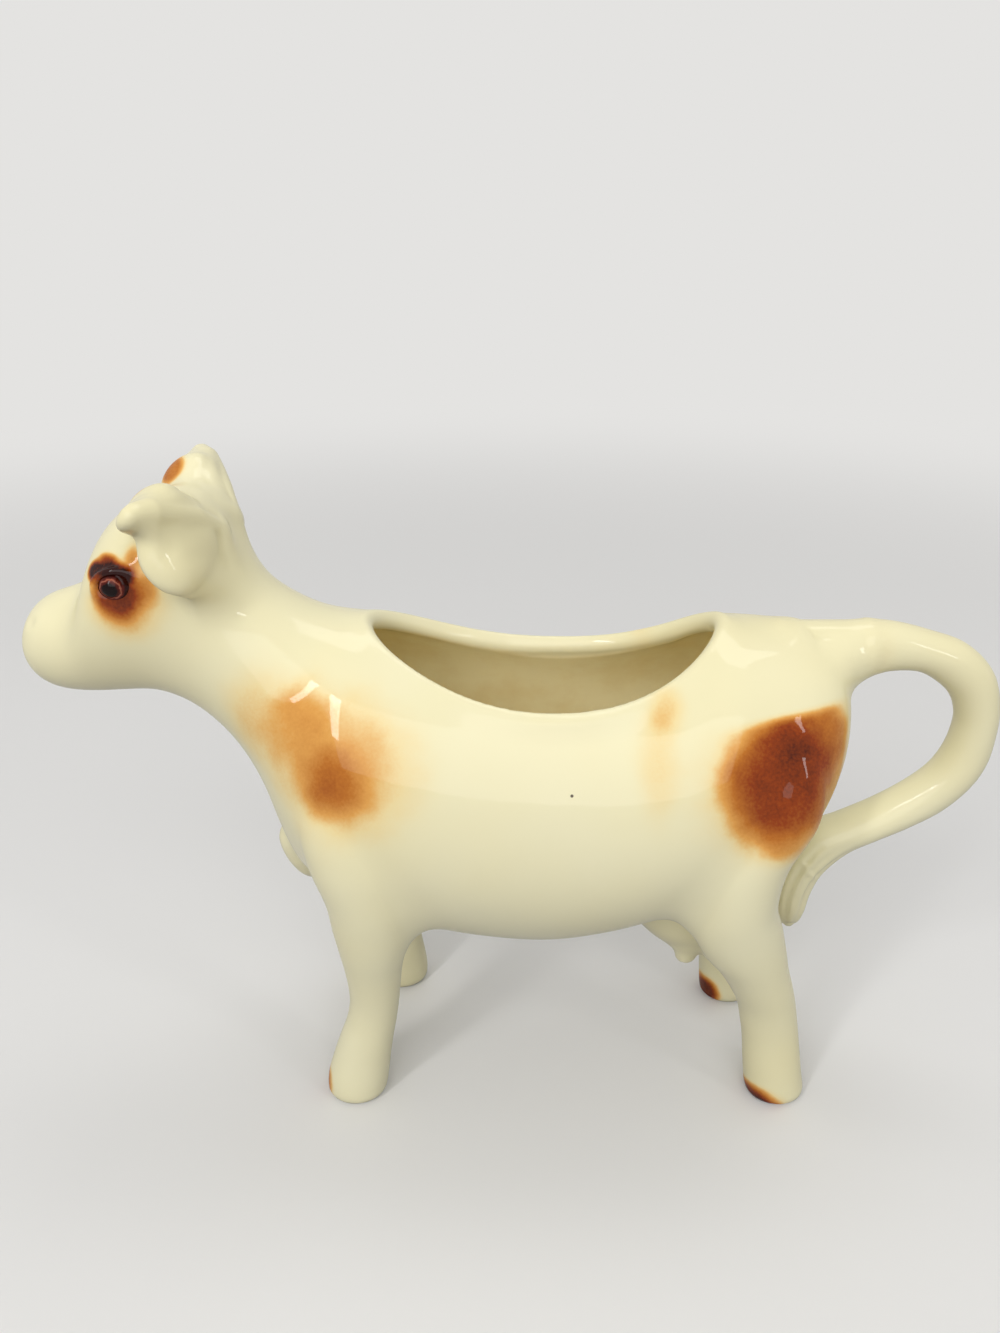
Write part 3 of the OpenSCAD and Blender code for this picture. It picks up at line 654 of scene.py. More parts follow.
def form_skin(sizes):
    """The clay with its parts luted on, the hollow inside and the modelled face, under the glaze."""
    skin = Skin(sizes.grid)
    fillet = sizes.fillet
    skin.add(solid(TRUNK))
    skin.soften(SOFTENED)
    for name in FEET:
        skin.add(solid(leg_rows(name)), fillet * LEG_SLIP)
    skin.add(solid(tail_rows()), lambda x, z: fillet * np.interp(z, *TAIL_SLIP))
    skin.add(tube(TAIL_SADDLE, SADDLE_R), fillet * SADDLE_SLIP)
    skin.add(solid(udder_rows()), fillet * UDDER_SLIP)
    for name in TEATS:
        skin.add(solid(teat_rows(name)), fillet * TEAT_SLIP)
    skin.add(solid(brisket_rows()), fillet * BRISKET_SLIP)
    model_ears_and_horns(skin, fillet)
    model_face(skin)
    comb_tuft(skin)
    path = rim_path(sizes.rim)
    hole = prism(path, BACK_H - BARREL_H / 2, BACK_H + BARREL_H / 2)
    space = solid(cream_space_rows(sizes.wall))
    hollow, box = skin.near(space, HOLLOW_REACH)
    inside = np.full(skin.field.shape, FAR, np.float32)
    inside[box] = hollow
    skin.cut(hole, HOLE_EDGE)
    skin.add(tube(path, sizes.rim / 2, closed=True), fillet * RIM_SLIP)
    skin.cut(space, SPACE_EDGE)
    nose = TRUNK[-1]
    mouth = np.array([nose[0], 0.0, (nose[1] + nose[3]) / 2])
    skin.cut(tube([mouth + [x, 0, 0] for x in (MOUTH_FROM, MOUTH_TO)], sizes.mouth / 2, sides=48), MOUTH_EDGE)
    # How deep each place lies in a fold: it sets the pooled glaze and the painted shade there.
    near = np.clip(skin.field, -CREASE_LIMIT, CREASE_LIMIT)
    crease = blurred(near, max(1, round(CREASE_REACH / sizes.grid)))
    skin.shades = {"hollow": inside, "crease": crease}
    return skin


# A hollow pressed in the front of a horn: middle (x, distance from the middle plane, z), reach, fillet.
HORN_SCOOP = ((-71.2, 14.5, 126.8), (4.6, 8.0, 3.4), 1.2)
# The thick underside of a horn, from its tip to its root: (x, distance from the middle plane, z), radius.
HORN_KEEL = (
    ((-63.3, 22.3, 128.3), 1.4), ((-62.7, 21.0, 128.3), 2.0), ((-61.3, 18.3, 127.7), 2.7),
    ((-59.2, 14.0, 126.0), 2.8), ((-56.8, 9.5, 124.2), 2.5), ((-54.0, 5.0, 121.0), 1.8),
)


def mirrored(place, side):
    return place[0], side * place[1], place[2]


def model_ears_and_horns(skin, fillet):
    """Ears and horns pressed on, with slip worked in behind them and a crease left in front."""
    for side in (LEFT, RIGHT):
        keel = tube([mirrored(at, side) for at, _ in HORN_KEEL], np.array([r for _, r in HORN_KEEL]))
        for form, slip in ((ear_form(side), EAR_SLIP), (horn_form(side), HORN_SLIP), (keel, KEEL_SLIP)):
            skin.add(form, lambda x, z: fillet * np.interp(x, *slip) + 0 * z)
        middle, reach, smoothed = HORN_SCOOP
        skin.cut(ball(mirrored(middle, side), reach), smoothed)


def model_face(skin):
    """Lids and nostrils, modelled in the soft clay."""
    eye_x, eye_z = EYE_AT
    out = EYE_SPAN / 2
    for side in (LEFT, RIGHT):
        lid = [(eye_x + LID_L * math.cos(a), side * (out + LID_OUT - LID_BEND * abs(math.cos(a))),
                eye_z + LID_H * math.sin(a) + LID_BEND * math.cos(a)) for a in turns(48)]
        skin.add(tube(lid, LID_R, closed=True), LID_SLIP)
        nostril = (POLL_X - NOSTRIL_X * HEAD_L, side * NOSTRIL_Y, JAW_H + NOSTRIL_H * HEAD_H)
        skin.cut(ball(nostril, NOSTRIL_R), NOSTRIL_R)


def comb_tuft(skin):
    """Grooves of hair along the tail's end."""
    rows = tail_rows()[TUFT_ROW * STEPS + 2:-3]
    start = np.minimum(1.0, np.linspace(0.0, 2.5, len(rows)) + 0.05)
    for side in (LEFT, RIGHT):
        for share in GROOVES:
            x = rows[:, 2] + share * (rows[:, 0] - rows[:, 2])
            z = rows[:, 3] + share * (rows[:, 1] - rows[:, 3])
            lift = np.sqrt(np.maximum(1 - (2 * share - 1) ** 2, 0))
            y = side * (rows[:, 4] * lift + GROOVE_OUT)
            skin.cut(tube(np.stack([x, y, z], 1), GROOVE_R * start, sides=12), GROOVE_EDGE)


def before(row):
    """A block, past the cow on every side, that lies wholly before a section."""
    top, low = row[0:2], row[2:4]
    way = (top - low) / np.linalg.norm(top - low) * PAST
    out = np.array([-way[1], way[0]])
    middle = (top + low) / 2
    corners = [middle + way, middle - way, middle - way + out, middle + way + out]
    return loft(np.array([[(x, y, z) for x, z in corners] for y in (-PAST, PAST)]))


# Materials.

def linear(hex_colour):
    """An sRGB hex value as linear red, green, blue and alpha."""
    parts = [int(hex_colour[n:n + 2], 16) / 255 for n in (1, 3, 5)]
    return [c / 12.92 if c <= 0.04045 else ((c + 0.055) / 1.055) ** 2.4 for c in parts] + [1.0]


def add_node(tree, kind, links=None, **settings):
    """Adds a node. A link may be a socket, a node, which stands for its first output, or a value."""
    node = tree.nodes.new("ShaderNode" + kind)
    for name, value in settings.items():
        setattr(node, name, value)
    for socket, value in (links or {}).items():
        if isinstance(value, bpy.types.Node):
            value = value.outputs[0]
        if isinstance(value, bpy.types.NodeSocket):
            tree.links.new(value, node.inputs[socket])
        else:
            node.inputs[socket].default_value = value
    return node


# Airbrushed patches: middle (x, distance from the middle plane, z) and reach in mm, the share of the
# reach that is full, and how much oxide was sprayed there, from 0 to 1.
SPRAY = [
    ((44.0, 24.0, 81.0), (13.5, 30.0, 15.5), 0.25, 0.52),  # haunch, the core
    ((48.0, 22.0, 80.0), (17.5, 30.0, 18.5), 0.30, 0.44),  # haunch, round it
    ((44.5, 24.0, 79.5), (24.5, 30.0, 22.5), 0.05, 0.28),  # haunch, the mist
    ((51.5, 18.0, 87.5), (11.5, 22.0, 11.0), 0.30, 0.40),  # haunch, under the mask's edge
    ((-39.6, 18.0, 90.5), (9.5, 22.0, 10.0), 0.05, 0.26),  # shoulder, upper
    ((-34.2, 25.0, 80.3), (10.5, 22.0, 10.5), 0.00, 0.42),  # shoulder, lower
    ((-35.0, 22.0, 83.0), (22.0, 32.0, 23.0), 0.00, 0.34),  # shoulder, the mist round it
    ((-26.0, 24.0, 82.0), (19.0, 30.0, 19.0), 0.00, 0.16),  # shoulder, the mist behind it
    ((-48.5, 14.0, 89.0), (12.0, 16.0, 17.0), 0.00, 0.24),  # chest, the mist before the shoulder
    ((-70.0, 14.5, 112.0), (6.2, 6.5, 6.6), 0.30, 0.72),  # round the eye
    ((-69.3, 15.0, 110.5), (11.5, 13.0, 11.5), 0.05, 0.42),  # mist round the eye
    ((-74.2, 11.6, 115.5), (3.6, 4.0, 2.9), 0.30, 0.95),  # over the eye, in front
    ((-71.4, 12.8, 116.3), (4.0, 4.0, 2.5), 0.20, 0.95),  # over the eye, its middle
    ((-68.8, 13.8, 115.5), (3.4, 4.0, 2.6), 0.30, 0.95),  # over the eye, behind
    ((-72.0, 11.2, 117.6), (4.4, 3.5, 1.8), 0.00, 0.70),  # brow
    ((-67.0, 12.4, 118.2), (3.2, 3.5, 5.4), 0.00, 0.46),  # front of the ear
    ((-65.2, 14.5, 113.5), (4.2, 5.0, 5.5), 0.00, 0.40),  # between the eye and the ear
    ((25.6, 17.0, 91.5), (6.0, 9.0, 8.5), 0.00, 0.24),  # streak behind the filling hole
    ((23.3, 22.0, 82.5), (7.0, 14.0, 19.0), 0.00, 0.21),  # the same, lower
    ((66.5, 0.0, 96.0), (7.0, 9.0, 8.0), 0.10, 0.20),  # root of the tail
    ((50.0, 19.5, -0.2), (8.6, 8.6, 6.8), 0.25, 0.90),  # left rear hoof
    ((44.0, 10.5, 2.0), (5.6, 7.6, 6.2), 0.30, 0.88),  # right rear hoof
    ((-41.2, 17.0, 3.0), (3.4, 7.0, 6.4), 0.10, 0.66),  # left front hoof
    ((-34.0, 14.0, 1.5), (3.0, 5.0, 3.5), 0.20, 0.50),  # right front hoof
    ((-65.2, 8.6, 128.2), (4.6, 5.0, 4.6), 0.30, 0.58),  # front of the horns
]
HAUNCH_ROWS = (0, 1, 2, 3)
SPECK = (8.4, -25.9, 79.0)
# Clear lead-type glaze over the body: a thin coat of glass, IOR 1.5, is the gloss.
GLAZE = {"Roughness": 0.5, "IOR": 1.5, "Specular IOR Level": 0.0, "Coat Roughness": 0.03, "Coat IOR": 1.5}
MASK_SLOPE, MASK_Z = 0.08, 87.7  # the mask's edge on the haunch, which falls towards the front


def new_material(name):
    """A material with no nodes, and add_node for its tree."""
    material = bpy.data.materials.new(name)
    material.use_nodes = True
    material.node_tree.nodes.clear()
    return material, partial(add_node, material.node_tree)


def places(add):
    """A place in mm, its axes, and the place with the right side folded onto the left."""
    where = add("TexCoord")
    mm = add("VectorMath", {0: where.outputs["Object"], 3: 1 / MM}, operation="SCALE")
    axes = add("SeparateXYZ", {0: mm}).outputs
    out = add("Math", {0: axes["Y"]}, operation="ABSOLUTE")
    return mm, axes, add("CombineXYZ", {0: axes["X"], 1: out, 2: axes["Z"]})


def set_stops(ramp, stops):
    elements = ramp.color_ramp.elements
    while len(elements) < len(stops):
        elements.new(0.5)
    for element, (position, colour) in zip(elements, stops):
        element.position, element.color = position, colour


def patch_amount(add, place_at, patch, wobble):
    """How much oxide one pass of the airbrush left at a place."""
    middle, reach, full, amount = patch
    off = add("VectorMath", {0: place_at, 1: middle}, operation="SUBTRACT")
    off = add("VectorMath", {0: off, 1: reach}, operation="DIVIDE")
    far = add("VectorMath", {0: off}, operation="LENGTH").outputs["Value"]
    far = add("Math", {0: far, 1: wobble}, operation="ADD")
    return add("MapRange", {
        "Value": far, "From Min": 1.0, "From Max": full, "To Max": amount}, interpolation_type="SMOOTHERSTEP")


def sprayed(add, place_at, wobble, edge):
    """The oxide from all passes: each covers part of what the others left bare."""
    bare = 1.0
    for n, patch in enumerate(SPRAY):
        amount = patch_amount(add, place_at, patch, wobble)
        if n in HAUNCH_ROWS:
            amount = add("Math", {0: amount, 1: edge}, operation="MULTIPLY")
        left = add("Math", {0: 1.0, 1: amount}, operation="SUBTRACT")
        bare = add("Math", {0: bare, 1: left}, operation="MULTIPLY")
    return add("Math", {0: 1.0, 1: bare}, operation="SUBTRACT")


def glazed_earthenware(colours):
    """Slip-cast white earthenware, airbrushed with iron oxide and dipped in clear lead-type glaze.

    To the eye: a cream body, warmer and darker in the folds, where the glaze pools and painted shade is laid,
    soft-edged brown sprays with a fine grain, and over all a hard, slightly wavy gloss.
    """
    material, add = new_material("glazed_earthenware")
    mm, axes, folded = places(add)
    # Each noise has its size in mm. The drift is an unsteady hand's, the grit is coarse brushed oxide,
    # the cloud is uneven spray, the tone is uneven glaze, and the wave is the glaze's own surface.
    drift, grit, cloud, tone, stain, wave = [
        add("TexNoise", {"Vector": mm, "Scale": 1 / size, "Detail": detail, "Roughness": rough})
        for size, detail, rough in (
            (7, 3.0, 0.5), (0.55, 2.0, 0.5), (4.5, 4.0, 0.5), (38, 2.0, 0.5), (14, 5.0, 0.6), (9, 1.0, 0.5))]
    wobble, grain, patchy, stained = [
        add("MapRange", {"Value": noise, "From Min": start, "From Max": end, "To Min": low, "To Max": high})
        for noise, start, end, low, high in (
            (drift, 0.3, 0.7, -0.05, 0.05), (grit, 0.25, 0.75, 0.95, 1.05),
            (cloud, 0.3, 0.7, 0.95, 1.05), (stain, 0.42, 0.72, 0.0, 0.8))]
    # The haunch was sprayed along the edge of a paper mask.
    line = add("Math", {0: axes["X"], 1: MASK_SLOPE, 2: MASK_Z}, operation="MULTIPLY_ADD")
    under = add("Math", {0: line, 1: axes["Z"]}, operation="SUBTRACT")
    edge = add("MapRange", {
        "Value": under, "From Min": -0.9, "From Max": 1.6}, interpolation_type="SMOOTHSTEP")
    oxide = sprayed(add, folded, wobble, edge)
    for share in (grain, patchy):
        oxide = add("Math", {0: oxide, 1: share}, operation="MULTIPLY")

    # Under the spray: cream with a slow change of tone; warmer and darker in the folds, where the glaze pools
    # and painted shade darkens them; tan in the hollow, painted brighter than the outside as painted light.
    crease, hollow = [add("Attribute", attribute_name=name).outputs["Fac"]
                      for name in ("crease", "hollow")]
    pooled_and_shaded = add("MapRange", {"Value": crease, "From Min": -0.02, "From Max": -0.55, "To Max": 0.75})
    inside = add("MapRange", {
        "Value": hollow, "From Min": 0.7, "From Max": 0.0}, interpolation_type="SMOOTHSTEP")
    outside = add("Math", {0: 1.0, 1: inside}, operation="SUBTRACT")
    ramp = add("ValToRGB", {"Fac": oxide})
    set_stops(ramp, [(0.0, colours.thin_spray), (0.20, colours.thin_spray), (0.40, colours.orange),
                     (0.60, colours.rust), (0.78, colours.red_brown), (0.95, colours.dark_brown)])
    cover = add("MapRange", {"Value": oxide, "From Max": 0.36}, interpolation_type="SMOOTHSTEP")
    cover = add("Math", {0: cover, 1: outside}, operation="MULTIPLY")
    # One dark speck on the left flank.
    speck = add("VectorMath", {0: mm, 1: SPECK}, operation="DISTANCE").outputs["Value"]
    rare = add("MapRange", {
        "Value": speck, "From Min": 0.22, "From Max": 0.36, "To Min": 0.9, "To Max": 0.0})
    # Inside, the lining with its old stains, both painted brighter than the cream outside as painted light
    # for the light falling in through the hole.
    lining_with_painted_light = add("Mix", {
        "Factor": stained, 6: colours.lining_with_painted_light, 7: colours.stain}, data_type="RGBA").outputs[2]
    paint = colours.cream
    for factor, over in ((tone, colours.warm_cream), (pooled_and_shaded, colours.pooled_and_shaded), (inside, lining_with_painted_light),
                         (cover, ramp), (rare, colours.dark_brown)):
        paint = add("Mix", {"Factor": factor, 6: paint, 7: over}, data_type="RGBA").outputs[2]
    bump = add("Bump", {"Height": wave, "Strength": 0.35, "Distance": 0.25 * MM})
    shader = add("BsdfPrincipled", GLAZE | {
        "Base Color": paint, "Coat Weight": 0.5, "Normal": bump, "Coat Normal": bump})
    add("OutputMaterial", {"Surface": shader})
    return material


def painted_eye(colours):
    """Eyes painted by hand in dark manganese brown under the same glaze: almost black, wet-looking, with a
    painted reflection of the lamps as a pale ring on the iris's raised edge.
    """
    material, add = new_material("painted_eye")
    mm, _, folded = places(add)
    off = add("VectorMath", {
        0: folded, 1: (EYE_AT[0] - 0.3, EYE_SPAN / 2 + 3.0, EYE_AT[1] - 0.2)}, operation="DISTANCE")
    brush = add("TexNoise", {"Vector": mm, "Scale": 1 / 0.8, "Detail": 3.0})
    far = add("Math", {0: brush, 1: 0.9, 2: off.outputs["Value"]}, operation="MULTIPLY_ADD")
    share = add("Math", {0: far, 1: 5.0}, operation="DIVIDE")
    ramp = add("ValToRGB", {"Fac": share})
    # Rings out from the front of the eye: pupil, iris, a pale ring that is a painted reflection of the lamps
    # along the iris's raised edge, iris again, and the dark brown round it.
    set_stops(ramp, [(0.0, colours.pupil), (0.36, colours.pupil), (0.47, colours.iris),
                     (0.51, colours.painted_glint_ring), (0.56, colours.iris), (0.66, colours.dark_brown)])
    shader = add("BsdfPrincipled", GLAZE | {"Base Color": ramp, "Coat Weight": 0.35})
    add("OutputMaterial", {"Surface": shader})
    return material


def pale_floor(colours):
    """A matt paper sweep: plain, pale, with only the object's own soft shadow on it."""
    material, add = new_material("paper_sweep")
    path = add("LightPath").outputs
    seen = add("Math", {0: path["Is Camera Ray"], 1: path["Is Glossy Ray"]}, operation="MAXIMUM")
    where = add("TexCoord").outputs["Object"]
    far = add("VectorMath", {0: where}, operation="LENGTH").outputs["Value"]
    fade = add("MapRange", {
        "Value": far, "From Min": 0.22, "From Max": 0.75}, interpolation_type="SMOOTHERSTEP")
    share = add("Math", {0: fade, 1: seen}, operation="MULTIPLY")
    tint = add("Mix", {
        "Factor": seen, 6: colours.floor_bounce, 7: colours.floor}, data_type="RGBA").outputs[2]
    paper = add("BsdfDiffuse", {"Color": tint})
    haze = add("Emission", {"Color": colours.floor})
    both = add("MixShader", {0: share, 1: paper, 2: haze})
    add("OutputMaterial", {"Surface": both})
    return material


# What a user would change.

def length_property(name, description, default, low, high):
    return bpy.props.FloatProperty(
        name=name, description=description + ", in mm", default=default, min=low, max=high)


class CowSizes(bpy.types.PropertyGroup):
    grid: length_property("Modelling grid", "Spacing at which the skin is modelled", 0.5, 0.4, 1.0)
    fillet: length_property("Slip fillet", "Reach of the slip where a part is luted on", 5.0, 1.0, 8.0)
    wall: length_property("Wall", "Thickness of the clay", 3.6, 3.0, 4.5)
    rim: length_property("Rim", "Thickness of the rolled rim", 3.8, 3.0, 4.5)
    mouth: length_property("Mouth", "Diameter of the pouring hole in the muzzle", 8.4, 7.0, 9.0)
    faces: bpy.props.FloatProperty(
        name="Faces kept", description="Share of the modelled faces that is kept", default=0.3,
        min=0.1, max=1.0, subtype="FACTOR")


def colour_property(name, description, hex_colour):
    return bpy.props.FloatVectorProperty(
        name=name, description=description, subtype="COLOR", size=4, min=0.0, max=1.0,
        default=linear(hex_colour))


class GlazeColours(bpy.types.PropertyGroup):
    cream: colour_property("Cream", "Glaze over the bare body", "#EFEAC9")
    warm_cream: colour_property("Warm cream", "Cream where it is thicker", "#E9DEAC")
    # Darker and warmer than the cream: glaze pooled in the folds, with painted shade for the shadow that lies
    # in them.
    pooled_and_shaded: colour_property("Pooled", "Glaze in the folds", "#CFC595")
    # Painted light: the lining and its stains are set brighter than the cream outside, so that the inside
    # looks lit by the light falling in through the hole; their yellow-tan tint is crazing and dirt in the
    # glaze.
    lining_with_painted_light: colour_property("Lining", "Glaze inside the jug", "#FBF0C4")
    stain: colour_property("Stain", "Old stains inside the jug", "#EEDAA2")
    thin_spray: colour_property("Thin spray", "The mist at a patch's edge", "#EED08A")
    orange: colour_property("Orange", "A light pass of oxide", "#DE9F4E")
    rust: colour_property("Rust", "A full pass of oxide", "#BA6E22")
    red_brown: colour_property("Red brown", "Two passes of oxide", "#8E3803")
    dark_brown: colour_property("Dark brown", "Oxide laid on thick", "#2E0602")
    iris: colour_property("Iris", "Ring round the pupil", "#5E1A10")
    # Painted reflection: a pale ring on the iris's raised edge, standing in for the glint of the lamps there.
    painted_glint_ring: colour_property("Worn edge", "Where the paint is thin on the iris's raised edge", "#A8624C")
    pupil: colour_property("Pupil", "Middle of the eye", "#120101")
    floor: colour_property("Floor", "The paper under the jug", "#E4E3E1")
    floor_bounce: colour_property("Floor bounce", "The light that the floor throws back up", "#8D8E96")


def power_property(name, description, default):
    return bpy.props.FloatProperty(name=name, description=description, default=default, unit="POWER")


class Studio(bpy.types.PropertyGroup):
    lens: bpy.props.FloatProperty(
        name="Lens", description="Focal length of the camera", default=28.087, unit="CAMERA")
    key: power_property("Key light", "Power of the main softbox", 1.3)
    fill: power_property("Fill light", "Power of the second softbox", 0.5)
    top: power_property("Top light", "Power of the overhead softbox", 1.25)
    front: power_property("Front light", "Power of the wide light before the jug", 7.2)
    world: bpy.props.FloatProperty(
        name="Room light", description="Level of the light from all round", default=0.5)


# The stage, in metres: each softbox's width, height and place, the place all aim at, and the camera.
LAMPS = {
    "key": ((0.07, 0.42), (-0.42, -0.55, 0.62)), "fill": ((0.06, 0.30), (0.62, -0.50, 0.50)),
    "top": ((0.50, 0.30), (0.10, 0.25, 0.90)), "front": ((1.20, 1.00), (-0.15, -0.98, 0.74)),
}
AIM = (0.0, 0.0, 0.06)
CAMERA_AT = (-4.2 * MM, -181.3 * MM, 176.5 * MM)
CAMERA_TILT, SENSOR, CLIP = math.radians(65.0), 36.0, (0.01, 20.0)
FLOOR_REACH, FLOOR_T = 3000.0, 20.0  # in mm


# The steps.

made = {}


def sizes():
    return bpy.context.scene.cow_sizes


def colours():
    return bpy.context.scene.glaze_colours


def glaze():
    if "glaze" not in made:
        made["glaze"] = glazed_earthenware(colours())
    return made["glaze"]


def finish_piece(piece, node):
    swept(piece)
    dressed(piece, made["skin"])
    piece.data.materials.clear()
    piece.data.materials.append(glaze())
    place(piece, "cream_glaze", node)


def take(name, form, kept=None):
    """Cuts a part out of the one skin along a form, but for what lies in kept, and names it."""
    body = made["body"]
    blade = new_object(name + "_knife", form)
    if kept is not None:
        base = new_object(name + "_base", kept)
        combined(blade, base, "DIFFERENCE")
        discard(base)
    piece = bpy.data.objects.new("glazed_" + name, body.data.copy())
    bpy.context.scene.collection.objects.link(piece)
    combined(piece, blade, "INTERSECT")
    combined(body, blade, "DIFFERENCE")
    discard(blade)
    finish_piece(piece, name)


def knife(rows, drop=0.0, out=KNIFE):
    """A form let out round sections, with its foot set lower."""
    rows = grown(rows, out)
    rows[0, [1, 3]] -= drop
    return solid(rows)


def core(rows=TRUNK, depth=CORE):
    """A form drawn in: it stays behind when a part is cut off it."""
    return solid(grown(rows, -depth))


class COW_OT_skin(bpy.types.Operator):
    """Models the whole cow as one skin under the glaze, as it leaves the kiln"""
    bl_idname = "cow.skin"
    bl_label = "Model the skin"

    def execute(self, context):
        skin = form_skin(sizes())
        body = new_object("glazed_body_shell", skin.mesh())
        body.modifiers.new("thin", "DECIMATE").ratio = sizes().faces
        settled(body)
        made.update(skin=skin, body=body)
        return {"FINISHED"}


class COW_OT_horns(bpy.types.Operator):
    """Parts the two horns from the skin"""
    bl_idname = "cow.horns"
    bl_label = "Horns"

    def execute(self, context):
        for hand, side in HANDS:
            take(hand + "_horn", horn_form(side, KNIFE), core())
        return {"FINISHED"}


class COW_OT_ears(bpy.types.Operator):
    """Parts the two ears from the skin"""
    bl_idname = "cow.ears"
    bl_label = "Ears"

    def execute(self, context):
        for hand, side in HANDS:
            take(hand + "_ear", ear_form(side, EAR_KNIFE), core())
        return {"FINISHED"}


class COW_OT_tail(bpy.types.Operator):
    """Parts the looped tail from the skin, as the handle and the tuft at its end"""
    bl_idname = "cow.tail"
    bl_label = "Tail handle and tuft"

    def execute(self, context):
        rows = tail_rows()
        split = TUFT_ROW * STEPS
        take("tail_handle", knife(rows[:split + 1]), core())
        take("tail_tuft", solid(past_end(grown(rows[split:], KNIFE), TUFT_PAST)), core())
        return {"FINISHED"}


class COW_OT_teats(bpy.types.Operator):
    """Parts the four teats from the skin"""
    bl_idname = "cow.teats"
    bl_label = "Teats"

    def execute(self, context):
        for name in TEATS:
            take(name, knife(teat_rows(name), TEAT_DROP, TEAT_KNIFE), core(udder_rows()[2:], TEAT_CORE))
        return {"FINISHED"}


class COW_OT_udder(bpy.types.Operator):
    """Parts the udder from the skin"""
    bl_idname = "cow.udder"
    bl_label = "Udder"

    def execute(self, context):
        rows = grown(udder_rows()[1:], UDDER_KNIFE)
        full = 3 * STEPS - 1  # the knife is as wide below this row as at it, to take in the teats' fillets
        rows[:full, [0, 2, 4]] = rows[full, [0, 2, 4]]
        rows[0, [1, 3]] -= UDDER_DROP
        take("udder", solid(rows), core())
        return {"FINISHED"}


class COW_OT_brisket(bpy.types.Operator):
    """Parts the brisket from the skin"""
    bl_idname = "cow.brisket"
    bl_label = "Brisket"

    def execute(self, context):
        take("brisket", knife(brisket_rows()), core(depth=BRISKET_CORE))
        return {"FINISHED"}


class COW_OT_legs(bpy.types.Operator):
    """Parts the four legs from the skin, at the seam under the barrel"""
    bl_idname = "cow.legs"
    bl_label = "Legs"

    def execute(self, context):
        for name in FEET:
            take(name, knife(leg_rows(name)[:SEAM_ROW * STEPS + 1], LEG_DROP), core())
        return {"FINISHED"}


class COW_OT_head(bpy.types.Operator):
    """Parts the head from the skin at the poll"""
    bl_idname = "cow.head"
    bl_label = "Head"

    def execute(self, context):
        take("head", before(TRUNK[HEAD_START]))
        return {"FINISHED"}


class COW_OT_neck(bpy.types.Operator):
    """Parts the neck from the skin at the shoulders"""
    bl_idname = "cow.neck"
    bl_label = "Neck"

    def execute(self, context):
        take("neck", before(TRUNK[NECK_START]))
        return {"FINISHED"}


class COW_OT_body(bpy.types.Operator):
    """Finishes what is left of the skin, the barrel"""
    bl_idname = "cow.body"
    bl_label = "Barrel"

    def execute(self, context):
        finish_piece(made["body"], "body_shell")
        return {"FINISHED"}


class COW_OT_eyes(bpy.types.Operator):
    """Sets the two painted eyes between their lids"""
    bl_idname = "cow.eyes"
    bl_label = "Eyes"

    def execute(self, context):
        paint = painted_eye(colours())
        profile = np.array(EYE_PROFILE)
        for hand, side in HANDS:
            name = hand + "_eye"
            middle = np.array([EYE_AT[0], side * (EYE_SPAN / 2 - EYE_SUNK), EYE_AT[1]])
            ahead = np.array([EYE_WAY[0], side * EYE_WAY[1], EYE_WAY[2]])
            points, quads, tris = tube(middle + profile[:, :1] * ahead, profile[:, 1], sides=64)
            points[:, 2] = middle[2] + EYE_FLAT * (points[:, 2] - middle[2])
            eye = new_object("painted_" + name, (points, quads, tris))
            eye.data.polygons.foreach_set("use_smooth", np.ones(len(eye.data.polygons), bool))
            eye.data.materials.append(paint)
            place(eye, "dark_glaze", name)
        return {"FINISHED"}


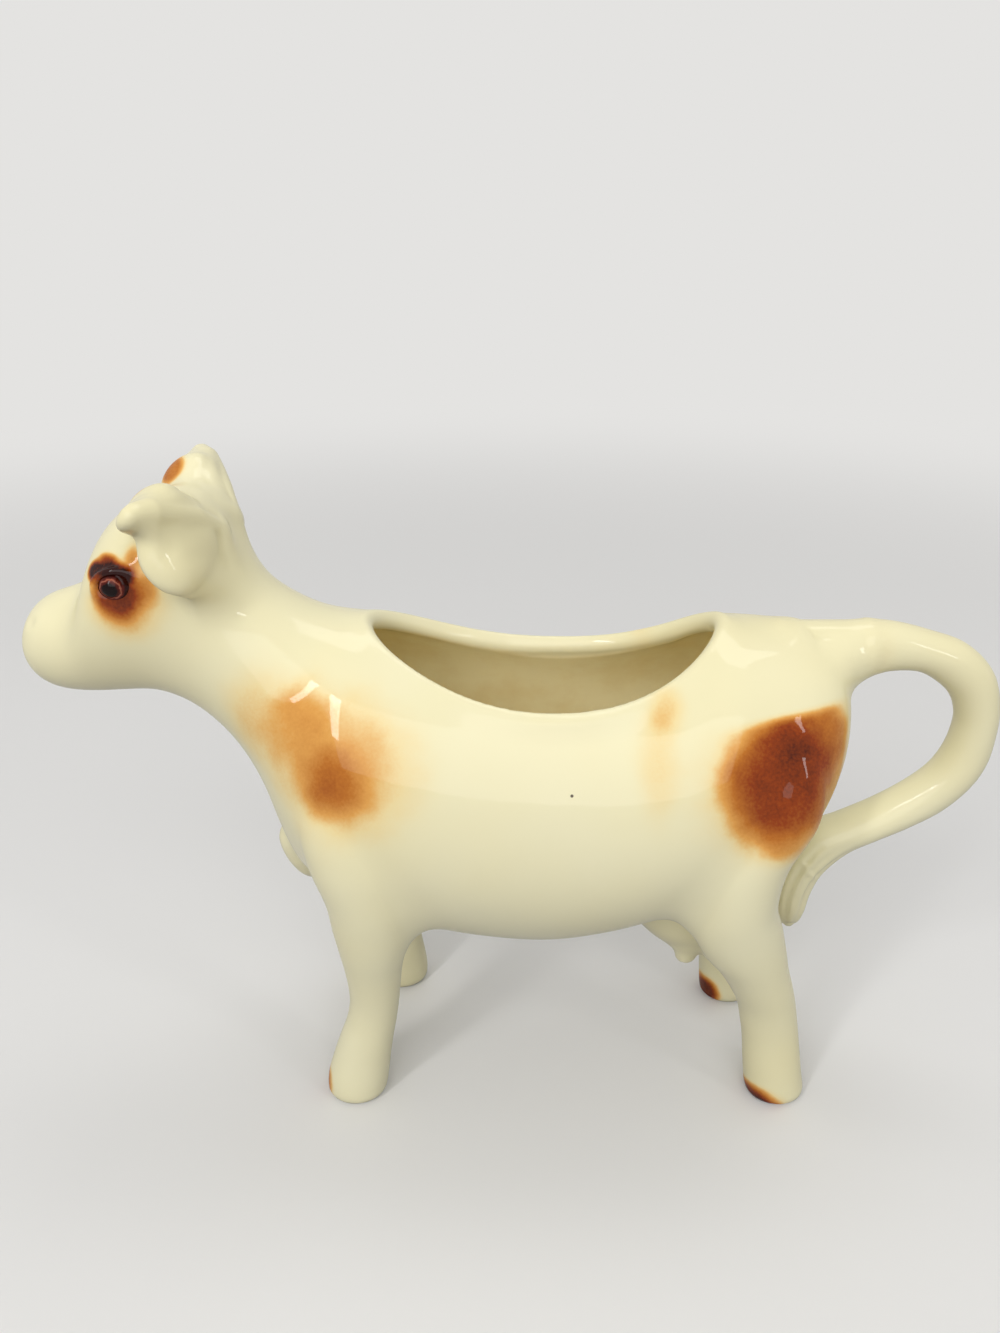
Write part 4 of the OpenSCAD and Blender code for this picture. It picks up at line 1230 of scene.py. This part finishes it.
class COW_OT_stage(bpy.types.Operator):
    """Sets the floor, the studio lights and the camera"""
    bl_idname = "cow.stage"
    bl_label = "Stage"

    def execute(self, context):
        scene = context.scene
        floor = new_object("floor", loft(np.array([
            [(FLOOR_REACH * math.cos(a), FLOOR_REACH * math.sin(a), z) for a in turns(SIDES)]
            for z in (-FLOOR_T, 0.0)])))
        floor.data.materials.append(pale_floor(colours()))
        for name, (size, at) in LAMPS.items():
            lamp = bpy.data.lights.new(name + "_light", "AREA")
            lamp.shape, lamp.size, lamp.size_y = "RECTANGLE", size[0], size[1]
            lamp.energy = getattr(scene.studio, name)
            lit = bpy.data.objects.new(lamp.name, lamp)
            lit.location = at
            aim = np.array(AIM) - np.array(at)
            rise = math.atan2(aim[2], math.hypot(aim[0], aim[1]))
            lit.rotation_euler = (math.pi / 2 + rise, 0.0, math.atan2(aim[1], aim[0]) - math.pi / 2)
            scene.collection.objects.link(lit)
        world = bpy.data.worlds.new("room")
        world.use_nodes = True
        world.node_tree.nodes.clear()
        add = partial(add_node, world.node_tree)
        path = add("LightPath").outputs
        seen = path["Is Camera Ray"]
        for ray in ("Is Transmission Ray", "Is Glossy Ray"):
            seen = add("Math", {0: seen, 1: path[ray]}, operation="MAXIMUM")
        room = add("Background", {"Color": (1, 1, 1, 1), "Strength": scene.studio.world})
        wall = add("Background", {"Color": colours().floor, "Strength": 1.0})
        both = add("MixShader", {0: seen, 1: room, 2: wall})
        add("OutputWorld", {"Surface": both})
        scene.world = world
        scene.view_settings.view_transform = "Standard"
        lens = bpy.data.cameras.new("camera")
        lens.lens, lens.sensor_width = scene.studio.lens, SENSOR
        lens.clip_start, lens.clip_end = CLIP
        camera = bpy.data.objects.new("camera", lens)
        camera.location = CAMERA_AT
        camera.rotation_euler = (CAMERA_TILT, 0.0, 0.0)
        scene.collection.objects.link(camera)
        scene.camera = camera
        return {"FINISHED"}


STEPS_IN_ORDER = (
    COW_OT_skin, COW_OT_horns, COW_OT_ears, COW_OT_tail, COW_OT_teats, COW_OT_udder, COW_OT_brisket,
    COW_OT_legs, COW_OT_head, COW_OT_neck, COW_OT_body, COW_OT_eyes, COW_OT_stage,
)


class COW_PT_panel(bpy.types.Panel):
    """Lists the sizes, the colours and the steps"""
    bl_idname = "COW_PT_panel"
    bl_label = "Cow creamer"
    bl_space_type = "VIEW_3D"
    bl_region_type = "UI"
    bl_category = "Cow creamer"

    def draw(self, context):
        for group in (context.scene.cow_sizes, context.scene.glaze_colours, context.scene.studio):
            column = self.layout.column(align=True)
            for name in group.__annotations__:
                column.prop(group, name)
        column = self.layout.column(align=True)
        for step in STEPS_IN_ORDER:
            column.operator(step.bl_idname)


GROUPS = (CowSizes, GlazeColours, Studio)


def register():
    for each in (*GROUPS, *STEPS_IN_ORDER, COW_PT_panel):
        bpy.utils.register_class(each)
    bpy.types.Scene.cow_sizes = bpy.props.PointerProperty(type=CowSizes)
    bpy.types.Scene.glaze_colours = bpy.props.PointerProperty(type=GlazeColours)
    bpy.types.Scene.studio = bpy.props.PointerProperty(type=Studio)


def unregister():
    del bpy.types.Scene.studio, bpy.types.Scene.glaze_colours, bpy.types.Scene.cow_sizes
    for each in reversed((*GROUPS, *STEPS_IN_ORDER, COW_PT_panel)):
        bpy.utils.unregister_class(each)


def main():
    register()
    for step in STEPS_IN_ORDER:
        group, name = step.bl_idname.split(".")
        getattr(getattr(bpy.ops, group), name)()


if __name__ == "__main__":
    main()
